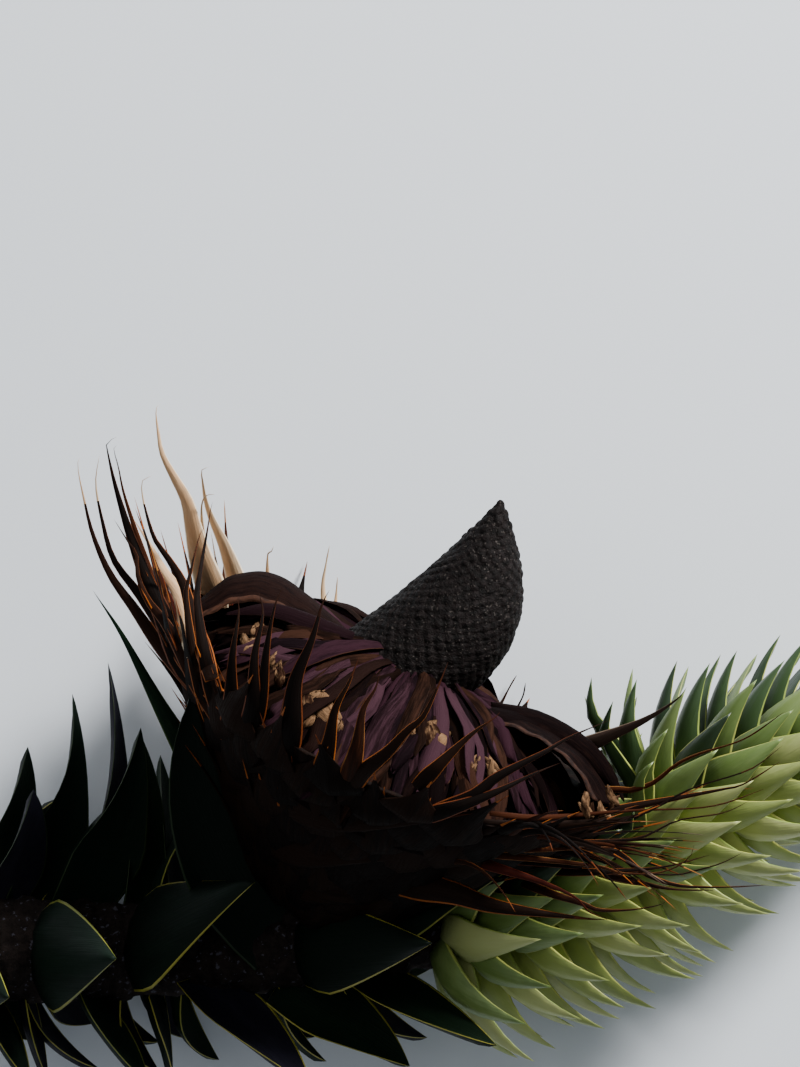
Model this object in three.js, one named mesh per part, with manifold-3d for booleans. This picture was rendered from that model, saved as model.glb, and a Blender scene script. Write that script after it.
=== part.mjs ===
import * as THREE from 'three';
import { mergeVertices } from 'three/addons/utils/BufferGeometryUtils.js';
import Module from 'manifold-3d';

// A cut branch of a monkey puzzle tree with one spent seed cone, lying on its back.
// Millimetres. +X runs from the sawn end to the tip, +Y is the way the cone stands out, +Z is up.

// Where the branch rests, and the middle that is brought over the origin at the end
const REST_LEVEL = -42;
const MIDDLE = { x: 14.5, y: -52.7 };
const GAP = 0.4;

// Stem: level from the sawn end, then rising along +Y and sinking a little
const SAWN_END = -115;
const STEM_END = 121;
const STEM_LEVEL = -104.25;
const STEM_RADIUS = { sawn: 13.5, tip: 4 };
const BEND = { at: 9, length: 15, rise: 0.56, sink: 0.08 };

// Every leaf: how deep it roots, as a share of the stem's radius, its thickness and how it tapers
const LEAF = { rooted: 0.8, thickness: 2.4, footShare: 0.65, widest: 0.25, taper: 1.6 };

// Leaves of the young shoot, set round the stem by the golden angle. From its start to its tip
// they get shorter and lie closer to the stem, and so does the sleeve of foliage between them.
const GOLDEN_TURN = 137.5;
const SHOOT = {
  start: 8, leaves: 66, length: 35, tipLength: 23.3, unevenLength: 2, width: 13, depth: 5.5,
  lift: 57, tipLift: 14, unevenLift: 5, closing: 3,
};
const SLEEVE = { radius: 25, tipRadius: 9, closing: 2.4, overLeaves: 5, masses: 5, pastTip: 12 };

// Cone: foot on the stem, its own directions, and the heights of its parts above the foot
const CONE_FOOT = new THREE.Vector3(-23.5, -96, 0);
const CONE_TILT = 15;
const CONE_LEAN = 24.1;
const STALK = { bottom: -2, top: 32, foot: 9, head: 13 };
const CORE = {
  bottom: 32.3, top: 119, widest: 0.45, footRadius: 12, radius: 17, flatness: 0.9, taper: 1.9,
  bow: 5, bowAt: 0.78, bowing: 70,
};
const CUP = { foot: 10, spread: 0.88, low: 12, high: 55, wall: 5.5 };
const SCALES = { inner: 14, outer: 52, crown: 72, fall: 13, falling: 1.6, sectors: 6, firstTurn: 15 };

// Old bracts round the cup: spread wide at the bottom, upright at the rim, short where they are pressed
const BRACTS = {
  count: 36, arcs: 10, low: 13, high: 56, lift: 12, rimLift: 60, unevenLift: 8, length: 44, unevenLength: 6,
  width: 9, thickness: 2.6, sag: 2.5, rooted: 0.6, pressed: 0.75,
};

const LOOKS = {
  bark: new THREE.MeshStandardMaterial({ color: 0x4b4038, roughness: 0.95, metalness: 0 }),
  oldLeaf: new THREE.MeshStandardMaterial({ color: 0x2c4a26, roughness: 0.5, metalness: 0 }),
  youngLeaf: new THREE.MeshStandardMaterial({ color: 0x86a05a, roughness: 0.5, metalness: 0 }),
  bract: new THREE.MeshStandardMaterial({ color: 0x6b3a1c, roughness: 0.8, metalness: 0 }),
  scale: new THREE.MeshStandardMaterial({ color: 0x4a2c2c, roughness: 0.85, metalness: 0 }),
  core: new THREE.MeshStandardMaterial({ color: 0x2a2222, roughness: 0.95, metalness: 0 }),
};

const wasm = await Module();
wasm.setup();
const branch = new THREE.Group();
const { degToRad, lerp } = THREE.MathUtils;

// A repeatable number from -1 to 1 for each seed, for natural unevenness
function uneven(seed) {
  const wave = Math.sin(seed * 12.9898 + 4.1) * 437.5453;
  return 2 * (wave - Math.floor(wave)) - 1;
}

// Solids and nodes

function solidOf(geometry) {
  geometry.deleteAttribute('normal');
  geometry.deleteAttribute('uv');
  const merged = mergeVertices(geometry, 1e-4);
  const vertProperties = new Float32Array(merged.attributes.position.array);
  const triVerts = new Uint32Array(merged.index.array);
  return new wasm.Manifold(new wasm.Mesh({ numProp: 3, vertProperties, triVerts }));
}

// The largest piece of a solid, without the crumbs that a cut leaves
function largest(solid) {
  return solid.decompose().reduce((best, piece) => (piece.volume() > best.volume() ? piece : best));
}

// True where every edge joins just two faces, also once vertices that nearly touch are one
function isClean(solid) {
  const { vertProperties, triVerts } = solid.getMesh();
  const keys = new Map();
  const vertexKey = (v) => {
    const spot = [0, 1, 2].map((k) => vertProperties[3 * v + k].toFixed(3)).join();
    if (!keys.has(spot)) keys.set(spot, keys.size);
    return keys.get(spot);
  };
  const edges = new Map();
  for (let i = 0; i < triVerts.length; i += 3) {
    const corners = [0, 1, 2].map((k) => vertexKey(triVerts[i + k]));
    if (new Set(corners).size < 3) continue;
    corners.forEach((a, k) => {
      const b = corners[(k + 1) % 3];
      const edge = Math.min(a, b) * 1e6 + Math.max(a, b);
      edges.set(edge, (edges.get(edge) ?? 0) + 1);
    });
  }
  return [...edges.values()].every((faces) => faces === 2);
}

function near(a, b) {
  const [p, q] = [a.boundingBox(), b.boundingBox()];
  return [0, 1, 2].every((k) => p.min[k] < q.max[k] && q.min[k] < p.max[k]);
}

// Each node keeps a swollen copy of itself, which later neighbours are cut by
const swollen = [];
// The block under the level that the branch lies on, wide enough for all of it
const FLOOR = { side: 500, depth: 60 };
const floorBlock = solidOf(
  new THREE.BoxGeometry(FLOOR.side, FLOOR.side, FLOOR.depth).translate(0, 0, REST_LEVEL - FLOOR.depth / 2),
);

// A solid cut by its neighbours. Where a cut leaves a hairline fold, it is made again a little thinner.
function carved(build) {
  for (const thinner of [0, 0.04, 0.08, 0.12, 0.16]) {
    let solid = build(-thinner).subtract(floorBlock);
    for (const other of swollen) {
      if (near(solid, other)) solid = solid.subtract(other);
    }
    for (const tolerance of [0.1, 0.06, 0.03]) {
      const smooth = largest(solid.simplify(tolerance));
      if (isClean(smooth)) return smooth;
    }
  }
  throw new Error('a solid stays folded');
}

function addNode(name, look, build) {
  const solid = carved(build);
  swollen.push(build(GAP));
  const { vertProperties, triVerts } = solid.getMesh();
  const geometry = new THREE.BufferGeometry();
  geometry.setAttribute('position', new THREE.BufferAttribute(new Float32Array(vertProperties), 3));
  geometry.setIndex(new THREE.BufferAttribute(new Uint32Array(triVerts), 1));
  geometry.computeVertexNormals();
  const mesh = new THREE.Mesh(geometry, look);
  mesh.name = name;
  branch.add(mesh);
}

// Shapes

// How much further than its sides the sharp end of a swollen copy reaches
const TIP_REACH = 4;

// A closed solid carried along a path, with one side turned to facing and grown by grow all over.
// section(share) gives half its width and half its depth; a pointed one ends in a sharp tip.
function sweep(path, facing, section, { sides, rings, pointed = true, grow = 0 }) {
  const geometry = new THREE.CylinderGeometry(pointed ? 0 : 1, 1, 1, sides, rings);
  const place = geometry.attributes.position;
  const ending = path.getPoint(1).sub(path.getPoint(1 - 1 / rings)).normalize();
  const spot = new THREE.Vector3();
  for (let i = 0; i < place.count; i += 1) {
    const share = place.getY(i) + 0.5;
    const shrink = pointed ? Math.max(1 - share, 1e-6) : 1;
    const [halfWidth, halfDepth] = section(share);
    const tangent = path.getTangent(share);
    const side = new THREE.Vector3().crossVectors(tangent, facing).normalize();
    const over = new THREE.Vector3().crossVectors(side, tangent);
    spot.copy(path.getPoint(share));
    spot.addScaledVector(side, (place.getX(i) / shrink) * (halfWidth + grow));
    spot.addScaledVector(over, (place.getZ(i) / shrink) * (halfDepth + grow));
    if (share < 0.001) spot.addScaledVector(tangent, -grow);
    if (share > 0.999) spot.addScaledVector(ending, pointed ? TIP_REACH * grow : grow);
    place.setXYZ(i, spot.x, spot.y, spot.z);
  }
  return geometry;
}

// A closed block bent into place: at(through, round, along) takes shares from 0 to 1
function bentBlock(cells, at) {
  const geometry = new THREE.BoxGeometry(1, 1, 1, ...cells);
  const place = geometry.attributes.position;
  for (let i = 0; i < place.count; i += 1) {
    place.setXYZ(i, ...at(place.getX(i) + 0.5, place.getY(i) + 0.5, place.getZ(i) + 0.5));
  }
  return geometry;
}

// The outline of a leaf: a broad foot, widest near a quarter, then drawn to a point
function leafOutline(share) {
  if (share < LEAF.widest) return lerp(LEAF.footShare, 1, share / LEAF.widest);
  return 1 - ((share - LEAF.widest) / (1 - LEAF.widest)) ** LEAF.taper;
}

// A leaf blade from root to tip, bowed through a middle point
function blade(root, middle, tip, facing, width, depth, shape) {
  const path = new THREE.QuadraticBezierCurve3(root, middle, tip);
  const section = (share) => {
    const full = leafOutline(share);
    return [(width / 2) * full, (depth / 2) * full];
  };
  return sweep(path, facing, section, shape);
}

// Stem

class StemLine extends THREE.Curve {
  constructor(from = SAWN_END, to = STEM_END) {
    super();
    this.from = from;
    this.to = to;
  }

  getPoint(share, target = new THREE.Vector3()) {
    const x = lerp(this.from, this.to, share);
    const past = BEND.length * Math.log(1 + Math.exp((x - BEND.at) / BEND.length));
    return target.set(x, STEM_LEVEL + BEND.rise * past, -BEND.sink * past);
  }
}

const stemLine = new StemLine();
const TOWARDS_VIEWER = new THREE.Vector3(0, 0, 1);
const stemShare = (x) => (x - SAWN_END) / (STEM_END - SAWN_END);
const stemRadius = (x) => lerp(STEM_RADIUS.sawn, STEM_RADIUS.tip, stemShare(x));

function stem(grow) {
  const section = (share) => {
    const radius = stemRadius(lerp(SAWN_END, STEM_END, share));
    return [radius, radius];
  };
  const shape = { sides: 12, rings: 20, pointed: false, grow };
  return solidOf(sweep(stemLine, TOWARDS_VIEWER, section, shape));
}

// At x along the stem and a turn round it, 0 towards +Y: the stem's tangent, the way out of it
// and the place where a leaf roots
function onStem(x, turn) {
  const centre = stemLine.getPoint(stemShare(x));
  const tangent = stemLine.getTangent(stemShare(x));
  const up = new THREE.Vector3(0, 1, 0);
  up.addScaledVector(tangent, -up.dot(tangent)).normalize();
  const front = new THREE.Vector3().crossVectors(tangent, up);
  const outward = up.multiplyScalar(Math.cos(degToRad(turn)));
  outward.addScaledVector(front, Math.sin(degToRad(turn)));
  const root = centre.clone().addScaledVector(outward, stemRadius(x) * LEAF.rooted);
  return { tangent, outward, root };
}

// Broad leaves of the old wood: x of the root, turn round the stem, tip, width, sideways bow
// and how far the flat side turns to the viewer, in degrees
const OLD_LEAVES = [
  { x: -106, turn: -12, tip: [-93.3, -53.5, -8], width: 18, bow: 4, face: 40 },
  { x: -100, turn: 8, tip: [-91.3, -63.8, 12], width: 18, bow: 3, face: 40 },
  { x: -94, turn: -22, tip: [-82.3, -40.3, -14], width: 20, bow: 3, face: 38 },
  { x: -77, turn: -40, tip: [-73.5, -32.5, -20], width: 17, bow: 5, face: 30 },
  { x: -81, turn: 16, tip: [-64.5, -48.8, 14], width: 24, bow: 2, face: 42 },
  { x: -66, turn: -18, tip: [-65, -51, -16], width: 16, bow: 3, face: 30 },
  { x: -54, turn: -50, tip: [-60.5, -56, -30], width: 17, bow: 1, face: 25 },
  { x: -43, turn: 52, tip: [-51.5, -44.8, 34], width: 27, bow: 1, face: 72 },
  { x: -66, turn: 88, tip: [-35.7, -86.5, 40], width: 29, bow: -1, face: 0 },
  { x: -89, turn: 96, tip: [-69.8, -104.8, 44], width: 28, bow: 1, face: 0 },
  { x: -112, turn: 104, tip: [-96.3, -114.5, 42], width: 25, bow: 1, face: 0 },
  { x: -78, turn: 158, tip: [-62.5, -137, 14], width: 19, bow: 0, face: 22 },
  { x: -50, turn: 136, tip: [-22, -137, 28], width: 23, bow: 1, face: 42 },
  { x: -103, turn: 160, tip: [-92, -137, 10], width: 18, bow: 0, face: 20 },
  { x: -93, turn: 186, tip: [-88, -137, -6], width: 16, bow: 0, face: 4 },
  { x: -62, turn: 196, tip: [-57, -136, -14], width: 17, bow: 1, face: 6 },
  { x: -30, turn: 168, tip: [2.5, -133, 8], width: 21, bow: 2, face: 45 },
  { x: -12, turn: 138, tip: [24, -127, 26], width: 20, bow: 0, face: 40 },
  { x: -24, turn: 92, tip: [8, -101, 44], width: 24, bow: 0, face: 0 },
  { x: -3, turn: 60, tip: [28, -82, 36], width: 20, bow: 0, face: 30 },
];
// The leaves at the back, which carry the branch, repeat at an even step to either side in turn
const BACK_LEAVES = {
  count: 8, start: -106, step: 15.5, length: 41, lift: 68, width: 15, spread: 24, unevenTurn: 8, bow: 2,
};

function oldLeaf(leaf) {
  const { tangent, root } = onStem(leaf.x, leaf.turn);
  const tip = new THREE.Vector3(...leaf.tip);
  const middle = root.clone().add(tip).multiplyScalar(0.5).addScaledVector(tangent, leaf.bow);
  const facing = tangent.clone().multiplyScalar(Math.cos(degToRad(leaf.face)));
  facing.addScaledVector(TOWARDS_VIEWER, Math.sin(degToRad(leaf.face)));
  return (grow) => {
    const shape = { sides: 4, rings: 4, grow };
    return solidOf(blade(root, middle, tip, facing, leaf.width, LEAF.thickness, shape));
  };
}

function backLeaf(number) {
  const x = BACK_LEAVES.start + number * BACK_LEAVES.step;
  const side = number % 2 ? 1 : -1;
  const turn = 270 + side * BACK_LEAVES.spread + BACK_LEAVES.unevenTurn * uneven(number);
  const { tangent, outward, root } = onStem(x, turn);
  const lift = degToRad(BACK_LEAVES.lift);
  const tip = root.clone().addScaledVector(tangent, BACK_LEAVES.length * Math.cos(lift));
  tip.addScaledVector(outward, BACK_LEAVES.length * Math.sin(lift));
  const middle = root.clone().add(tip).multiplyScalar(0.5);
  middle.addScaledVector(outward, BACK_LEAVES.bow);
  return (grow) => {
    const shape = { sides: 4, rings: 3, grow };
    return solidOf(blade(root, middle, tip, tangent, BACK_LEAVES.width, LEAF.thickness, shape));
  };
}

// Young shoot: sleeves of foliage round the stem, with a keeled leaf at each golden turn

const shootX = (number) => lerp(SHOOT.start, STEM_END, number / SHOOT.leaves);
const shootAge = (x) => THREE.MathUtils.clamp((x - SHOOT.start) / (STEM_END - SHOOT.start), 0, 1);
const sleeveRadius = (x) => lerp(SLEEVE.radius, SLEEVE.tipRadius, shootAge(x) ** SLEEVE.closing);

function shootLeaf(number, grow) {
  const x = shootX(number);
  const closing = shootAge(x) ** SHOOT.closing;
  const { tangent, outward, root } = onStem(x, number * GOLDEN_TURN);
  const lift = degToRad(lerp(SHOOT.lift, SHOOT.tipLift, closing) + SHOOT.unevenLift * uneven(number));
  const length = lerp(SHOOT.length, SHOOT.tipLength, closing) + SHOOT.unevenLength * uneven(number + 0.5);
  const tip = root.clone().addScaledVector(tangent, length * Math.cos(lift));
  tip.addScaledVector(outward, length * Math.sin(lift));
  // The leaf starts just inside the sleeve, which hides its foot
  const hidden = sleeveRadius(x) - SLEEVE.overLeaves - stemRadius(x) * LEAF.rooted;
  root.lerp(tip, THREE.MathUtils.clamp(hidden / (length * Math.sin(lift)), 0, 0.6));
  const section = () => [SHOOT.width / 2, SHOOT.depth / 2];
  const keelSide = tangent.clone().negate();
  return sweep(new THREE.LineCurve3(root, tip), keelSide, section, { sides: 3, rings: 1, grow });
}

// One length of the shoot: its sleeve, and the leaves that root along it
function shootMass(index) {
  const first = Math.round((index * SHOOT.leaves) / SLEEVE.masses);
  const last = Math.round(((index + 1) * SHOOT.leaves) / SLEEVE.masses);
  const isTip = index === SLEEVE.masses - 1;
  const from = shootX(first) + GAP;
  const to = isTip ? STEM_END + SLEEVE.pastTip : shootX(last) - GAP;
  return (grow) => {
    const section = (share) => {
      const radius = sleeveRadius(lerp(from, to, share));
      return [radius, radius];
    };
    const shape = { sides: 9, rings: 2, pointed: isTip, grow };
    let solid = solidOf(sweep(new StemLine(from, to), TOWARDS_VIEWER, section, shape));
    for (let number = first; number < last; number += 1) {
      solid = solid.add(solidOf(shootLeaf(number, grow)));
    }
    return solid;
  };
}

// Cone: every part is shaped upright round its own axis, then leaned into place

const lean = degToRad(CONE_LEAN);
const tilt = degToRad(CONE_TILT);
const coneAxis = new THREE.Vector3(Math.sin(lean), Math.cos(lean), 0).multiplyScalar(Math.cos(tilt));
coneAxis.z = Math.sin(tilt);
const coneRight = new THREE.Vector3(Math.cos(lean), -Math.sin(lean), 0);
const coneBack = new THREE.Vector3().crossVectors(coneAxis, coneRight);
const conePlace = new THREE.Matrix4().makeBasis(coneRight, coneBack, coneAxis).setPosition(CONE_FOOT);
const coneSolid = (geometry) => solidOf(geometry.applyMatrix4(conePlace));
const cupRadius = (height) => CUP.foot + CUP.spread * height;

// A point round the cone: turn 0 lies to the right, 90 at the back, 180 left, 270 in front
function round(turn, radius, height) {
  return new THREE.Vector3(radius * Math.cos(degToRad(turn)), radius * Math.sin(degToRad(turn)), height);
}

function stalk(grow) {
  const line = new THREE.LineCurve3(round(0, 0, STALK.bottom), round(0, 0, STALK.top));
  const section = (share) => {
    const radius = lerp(STALK.foot, STALK.head, share);
    return [radius, radius];
  };
  const shape = { sides: 10, rings: 1, pointed: false, grow };
  return coneSolid(sweep(line, round(270, 1, 0), section, shape));
}

class CoreLine extends THREE.Curve {
  getPoint(share, target = new THREE.Vector3()) {
    const off = Math.max(share, CORE.widest) - CORE.bowAt;
    return target.set(CORE.bow - CORE.bowing * off * off, 0, lerp(CORE.bottom, CORE.top, share));
  }
}

function core(grow) {
  const section = (share) => {
    const below = Math.sin((Math.PI / 2) * Math.min(share / CORE.widest, 1));
    const above = Math.max((share - CORE.widest) / (1 - CORE.widest), 0) ** CORE.taper;
    const radius = lerp(CORE.footRadius, CORE.radius, below) * (1 - above);
    return [radius, radius * CORE.flatness];
  };
  return coneSolid(sweep(new CoreLine(), round(270, 1, 0), section, { sides: 12, rings: 11, grow }));
}

// The packed seed scales, in sectors: each rises to its own crown beside the core and falls to the rim
const SCALE_CROWNS = [0, -2, 3, 7, -1, -4];

function scaleSector(index) {
  const sweepTurn = 360 / SCALES.sectors;
  const start = index * sweepTurn + SCALES.firstTurn;
  return (grow) => {
    const at = (through, aside, along) => {
      const edge = grow / SCALES.outer;
      const turn = start + sweepTurn * lerp(-edge, 1 + edge, aside);
      const radius = lerp(SCALES.inner - grow, SCALES.outer + grow, through);
      const bulge = Math.sin(Math.PI * aside) * SCALE_CROWNS[index];
      const top = SCALES.crown + bulge - SCALES.fall * through ** SCALES.falling;
      const bottom = Math.max((radius + CUP.wall + GAP - CUP.foot) / CUP.spread, STALK.top * 0.5);
      return round(turn, radius, lerp(bottom - grow, top + grow, along)).toArray();
    };
    return coneSolid(bentBlock([3, 4, 1], at));
  };
}

// Bracts with a known place in the outline: turn, root height, tip radius, tip height and width
const TALL_BRACTS = [
  { turn: 192, low: 22, reach: 82, high: 60, width: 9 },
  { turn: 186, low: 34, reach: 98.5, high: 88, width: 7 },
  { turn: 178, low: 38, reach: 94, high: 87, width: 7 },
  { turn: 172, low: 42, reach: 92.5, high: 90, width: 9 },
  { turn: 198, low: 40, reach: 87, high: 89, width: 9 },
  { turn: 160, low: 46, reach: 84.5, high: 80, width: 8 },
  { turn: 164, low: 52, reach: 88, high: 99, width: 12 },
  { turn: 150, low: 50, reach: 78, high: 85, width: 10 },
  { turn: 204, low: 52, reach: 69.5, high: 98, width: 9 },
  { turn: 145, low: 52, reach: 63.5, high: 68, width: 10 },
  { turn: 128, low: 50, reach: 74, high: 68, width: 6 },
  { turn: 112, low: 50, reach: 85, high: 69, width: 6 },
  { turn: 20, low: 50, reach: 67, high: 88, width: 9 },
  { turn: -12, low: 48, reach: 89, high: 105, width: 6 },
  { turn: -6, low: 34, reach: 101, high: 60, width: 8 },
  { turn: -20, low: 30, reach: 93.5, high: 67, width: 7 },
  { turn: -35, low: 28, reach: 96, high: 74, width: 7 },
  { turn: -30, low: 18, reach: 81, high: 43, width: 9 },
];

function evenBract(number) {
  const row = number / (BRACTS.count - 1);
  const low = lerp(BRACTS.low, BRACTS.high, row);
  const lift = degToRad(lerp(BRACTS.lift, BRACTS.rimLift, row) + BRACTS.unevenLift * uneven(number));
  const turn = number * GOLDEN_TURN;
  const pressed = BRACTS.pressed * Math.max(0, Math.sin(degToRad(turn))) ** 1.5;
  const length = (BRACTS.length + BRACTS.unevenLength * uneven(number + 0.5)) * (1 - pressed);
  return {
    turn,
    low,
    reach: cupRadius(low) + length * Math.cos(lift),
    high: low + length * Math.sin(lift),
    width: BRACTS.width,
  };
}

function bractBlade({ turn, low, reach, high, width }, grow) {
  const root = round(turn, cupRadius(low) - CUP.wall * BRACTS.rooted, low);
  const tip = round(turn, reach, high);
  const middle = root.clone().add(tip).multiplyScalar(0.5).add(round(turn, BRACTS.sag, -BRACTS.sag));
  const shape = { sides: 3, rings: 2, grow };
  return blade(root, middle, tip, round(turn, -1, 1.2), width, BRACTS.thickness, shape);
}

const allBracts = [...TALL_BRACTS];
for (let number = 0; number < BRACTS.count; number += 1) allBracts.push(evenBract(number));

// One arc of the cup of bracts: a bent wall with the bracts that root in it
function bractArc(index) {
  const arcTurn = 360 / BRACTS.arcs;
  const start = index * arcTurn;
  const mine = allBracts.filter(({ turn }) => Math.floor((((turn % 360) + 360) % 360) / arcTurn) === index);
  return (grow) => {
    const at = (through, aside, along) => {
      const height = lerp(CUP.low - grow, CUP.high + grow, along);
      const radius = cupRadius(height) - CUP.wall * (1 - through) + grow * (2 * through - 1);
      const edge = grow / radius / degToRad(arcTurn);
      return round(start + arcTurn * lerp(-edge, 1 + edge, aside), radius, height).toArray();
    };
    let solid = coneSolid(bentBlock([1, 2, 2], at));
    for (const one of mine) solid = solid.add(coneSolid(bractBlade(one, grow)));
    return solid;
  };
}

// The branch, from the wood outwards

addNode('stem', LOOKS.bark, stem);
addNode('cone_stalk', LOOKS.bark, stalk);
addNode('cone_core', LOOKS.core, core);
for (let i = 0; i < SCALES.sectors; i += 1) addNode(`seed_scales_${i + 1}`, LOOKS.scale, scaleSector(i));
for (let i = 0; i < BRACTS.arcs; i += 1) addNode(`bract_arc_${i + 1}`, LOOKS.bract, bractArc(i));
OLD_LEAVES.forEach((leaf, i) => addNode(`old_leaf_${i + 1}`, LOOKS.oldLeaf, oldLeaf(leaf)));
for (let i = 0; i < BACK_LEAVES.count; i += 1) addNode(`back_leaf_${i + 1}`, LOOKS.oldLeaf, backLeaf(i));
for (let i = 0; i < SLEEVE.masses; i += 1) addNode(`shoot_foliage_${i + 1}`, LOOKS.youngLeaf, shootMass(i));

branch.position.set(-MIDDLE.x, -MIDDLE.y, -REST_LEVEL);

export default branch;
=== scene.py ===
"""A cut branch of a monkey puzzle tree with one spent seed cone, lying on its back under the camera.

Shapes are drawn in millimetres in the branch's own drawing frame, x along the old stem to the shoot,
y the way the cone stands out and z towards the camera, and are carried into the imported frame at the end.
"""

import logging
from collections.abc import Callable, Sequence
from dataclasses import dataclass, field
from enum import Enum, IntEnum

import bpy
import numpy as np
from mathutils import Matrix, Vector


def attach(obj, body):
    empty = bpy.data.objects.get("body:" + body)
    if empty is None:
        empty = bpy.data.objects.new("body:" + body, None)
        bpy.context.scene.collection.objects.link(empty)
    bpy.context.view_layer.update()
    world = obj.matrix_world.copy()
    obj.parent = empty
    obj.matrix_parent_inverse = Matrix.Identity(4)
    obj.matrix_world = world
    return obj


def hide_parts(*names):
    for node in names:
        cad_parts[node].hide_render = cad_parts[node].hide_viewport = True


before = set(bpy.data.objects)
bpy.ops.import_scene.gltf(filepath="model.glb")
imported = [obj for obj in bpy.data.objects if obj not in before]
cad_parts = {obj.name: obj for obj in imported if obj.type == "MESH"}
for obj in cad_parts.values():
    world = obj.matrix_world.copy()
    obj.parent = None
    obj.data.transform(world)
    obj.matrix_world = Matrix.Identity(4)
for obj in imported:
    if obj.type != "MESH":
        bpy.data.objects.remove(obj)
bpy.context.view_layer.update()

Array = np.ndarray
log = logging.getLogger("branch")

MM = 0.001
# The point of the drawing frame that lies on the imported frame's origin
DRAWN_ORIGIN = np.array((14.5, -52.7, -42.0))
REST_LEVEL = -42.0
# Degrees from one leaf of a spiral to the next, and two shares of a whole that spread numbers as evenly
GOLDEN_TURN = 137.5
GOLDEN_SHARES = (0.618, 0.382)
TOWARDS_VIEWER = np.array((0.0, 0.0, 1.0))
# How far apart the patterns of two neighbouring blades lie, in millimetres
PATTERN_GAP = 60.0


# Numbers and curves


def uneven(seed: Array | float) -> Array:
    """A repeatable number from -1 to 1 for each seed.

    Formula: twice the fraction of 437.5453 sin(12.9898 seed + 4.1), less one.

    Args:
        seed: Any numbers.

    Returns:
        One number for each seed.
    """
    wave = np.sin(np.asarray(seed, float) * 12.9898 + 4.1) * 437.5453
    return 2 * (wave - np.floor(wave)) - 1


def varied(typical: Array | float, most: float, seed: Array) -> Array:
    """A typical value, more or less by up to the most, for each seed."""
    return typical + most * uneven(seed)


def dealt(kinds: Sequence[int], n: Array, step: int) -> Array:
    """One of the kinds for each number, dealt in steps so that neighbours differ."""
    return np.array(kinds)[(n * step) % len(kinds)]


def lerp(start: Array | float, end: Array | float, share: Array | float) -> Array:
    """The value a share of the way from start to end."""
    return start + (end - start) * share


def unit(vectors: Array) -> Array:
    """The vectors at length one."""
    return vectors / np.maximum(np.linalg.norm(vectors, axis=-1, keepdims=True), 1e-9)


def ease(share: Array) -> Array:
    """A share from 0 to 1 with a gentle start and end, 3s² - 2s³."""
    share = np.clip(share, 0, 1)
    return share * share * (3 - 2 * share)


def turns(count: int) -> Array:
    """Degrees round a whole turn in equal steps."""
    return np.linspace(0, 360, count, endpoint=False)


def turned_from(turn: Array, middle: Array | float) -> Array:
    """Degrees from a middle, -180 to 180."""
    return (turn - middle + 180) % 360 - 180


def stacked(*parts: Array | float) -> Array:
    """Points with these coordinates, each stretched to the shape that they share."""
    return np.stack(np.broadcast_arrays(*parts), -1)


def smoothed(shares: Array, values: Array) -> Array:
    """The values of the parabola that fits them best."""
    return np.polyval(np.polyfit(shares, values, 2), shares)


def bezier(controls: Array, shares: Array) -> Array:
    """Quadratic curves from their first to their last control.

    Formula: (1 - s)² a + 2 s (1 - s) b + s² c.

    Args:
        controls: The three controls of each curve, n by 3 by 3.
        shares: Where along the curve, from 0 to 1.

    Returns:
        The points, n by the number of shares by 3.
    """
    s = shares[None, :, None]
    start, middle, end = (controls[:, None, k] for k in range(3))
    return (1 - s) ** 2 * start + 2 * s * (1 - s) * middle + s**2 * end


def curve_through(points: Array, shares: Array, fineness: int = 24) -> Array:
    """A smooth curve through a few points.

    Formula: a Catmull-Rom spline. From p to q, with half the step between each point's neighbours as its
    slope, it is p(1 - 3t² + 2t³) + q(3t² - 2t³) + slope_p(t - 2t² + t³) + slope_q(t³ - t²).

    Args:
        points: The points, k by 2 or by 3.
        shares: Where along the curve's length, from 0 to 1.
        fineness: Steps between two points.

    Returns:
        One point for each share.
    """
    slopes = np.gradient(points, axis=0)
    t = np.linspace(0, 1, fineness, endpoint=False)[None, :, None]
    p, q = points[:-1, None], points[1:, None]
    dense = p * (1 - 3 * t**2 + 2 * t**3) + q * (3 * t**2 - 2 * t**3)
    dense = dense + slopes[:-1, None] * (t - 2 * t**2 + t**3) + slopes[1:, None] * (t**3 - t**2)
    dense = np.concatenate((dense.reshape(-1, points.shape[1]), points[-1:]))
    run = np.concatenate(((0,), np.cumsum(np.linalg.norm(np.diff(dense, axis=0), axis=1))))
    return np.stack([np.interp(shares * run[-1], run, column) for column in dense.T], axis=-1)


def rested(points: Array, softness: float = 1.4) -> Array:
    """The points, with what would sink under the resting level bent to lie on it.

    Formula: the height above the level becomes s log(1 + exp(height / s)).

    Args:
        points: Points of the drawing frame.
        softness: How far above the level the bending starts, in millimetres.

    Returns:
        The bent points.
    """
    made = np.array(points, float)
    height = (made[..., 2] - REST_LEVEL) / softness
    made[..., 2] = REST_LEVEL + softness * np.logaddexp(0, height)
    return made


# Meshes


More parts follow.
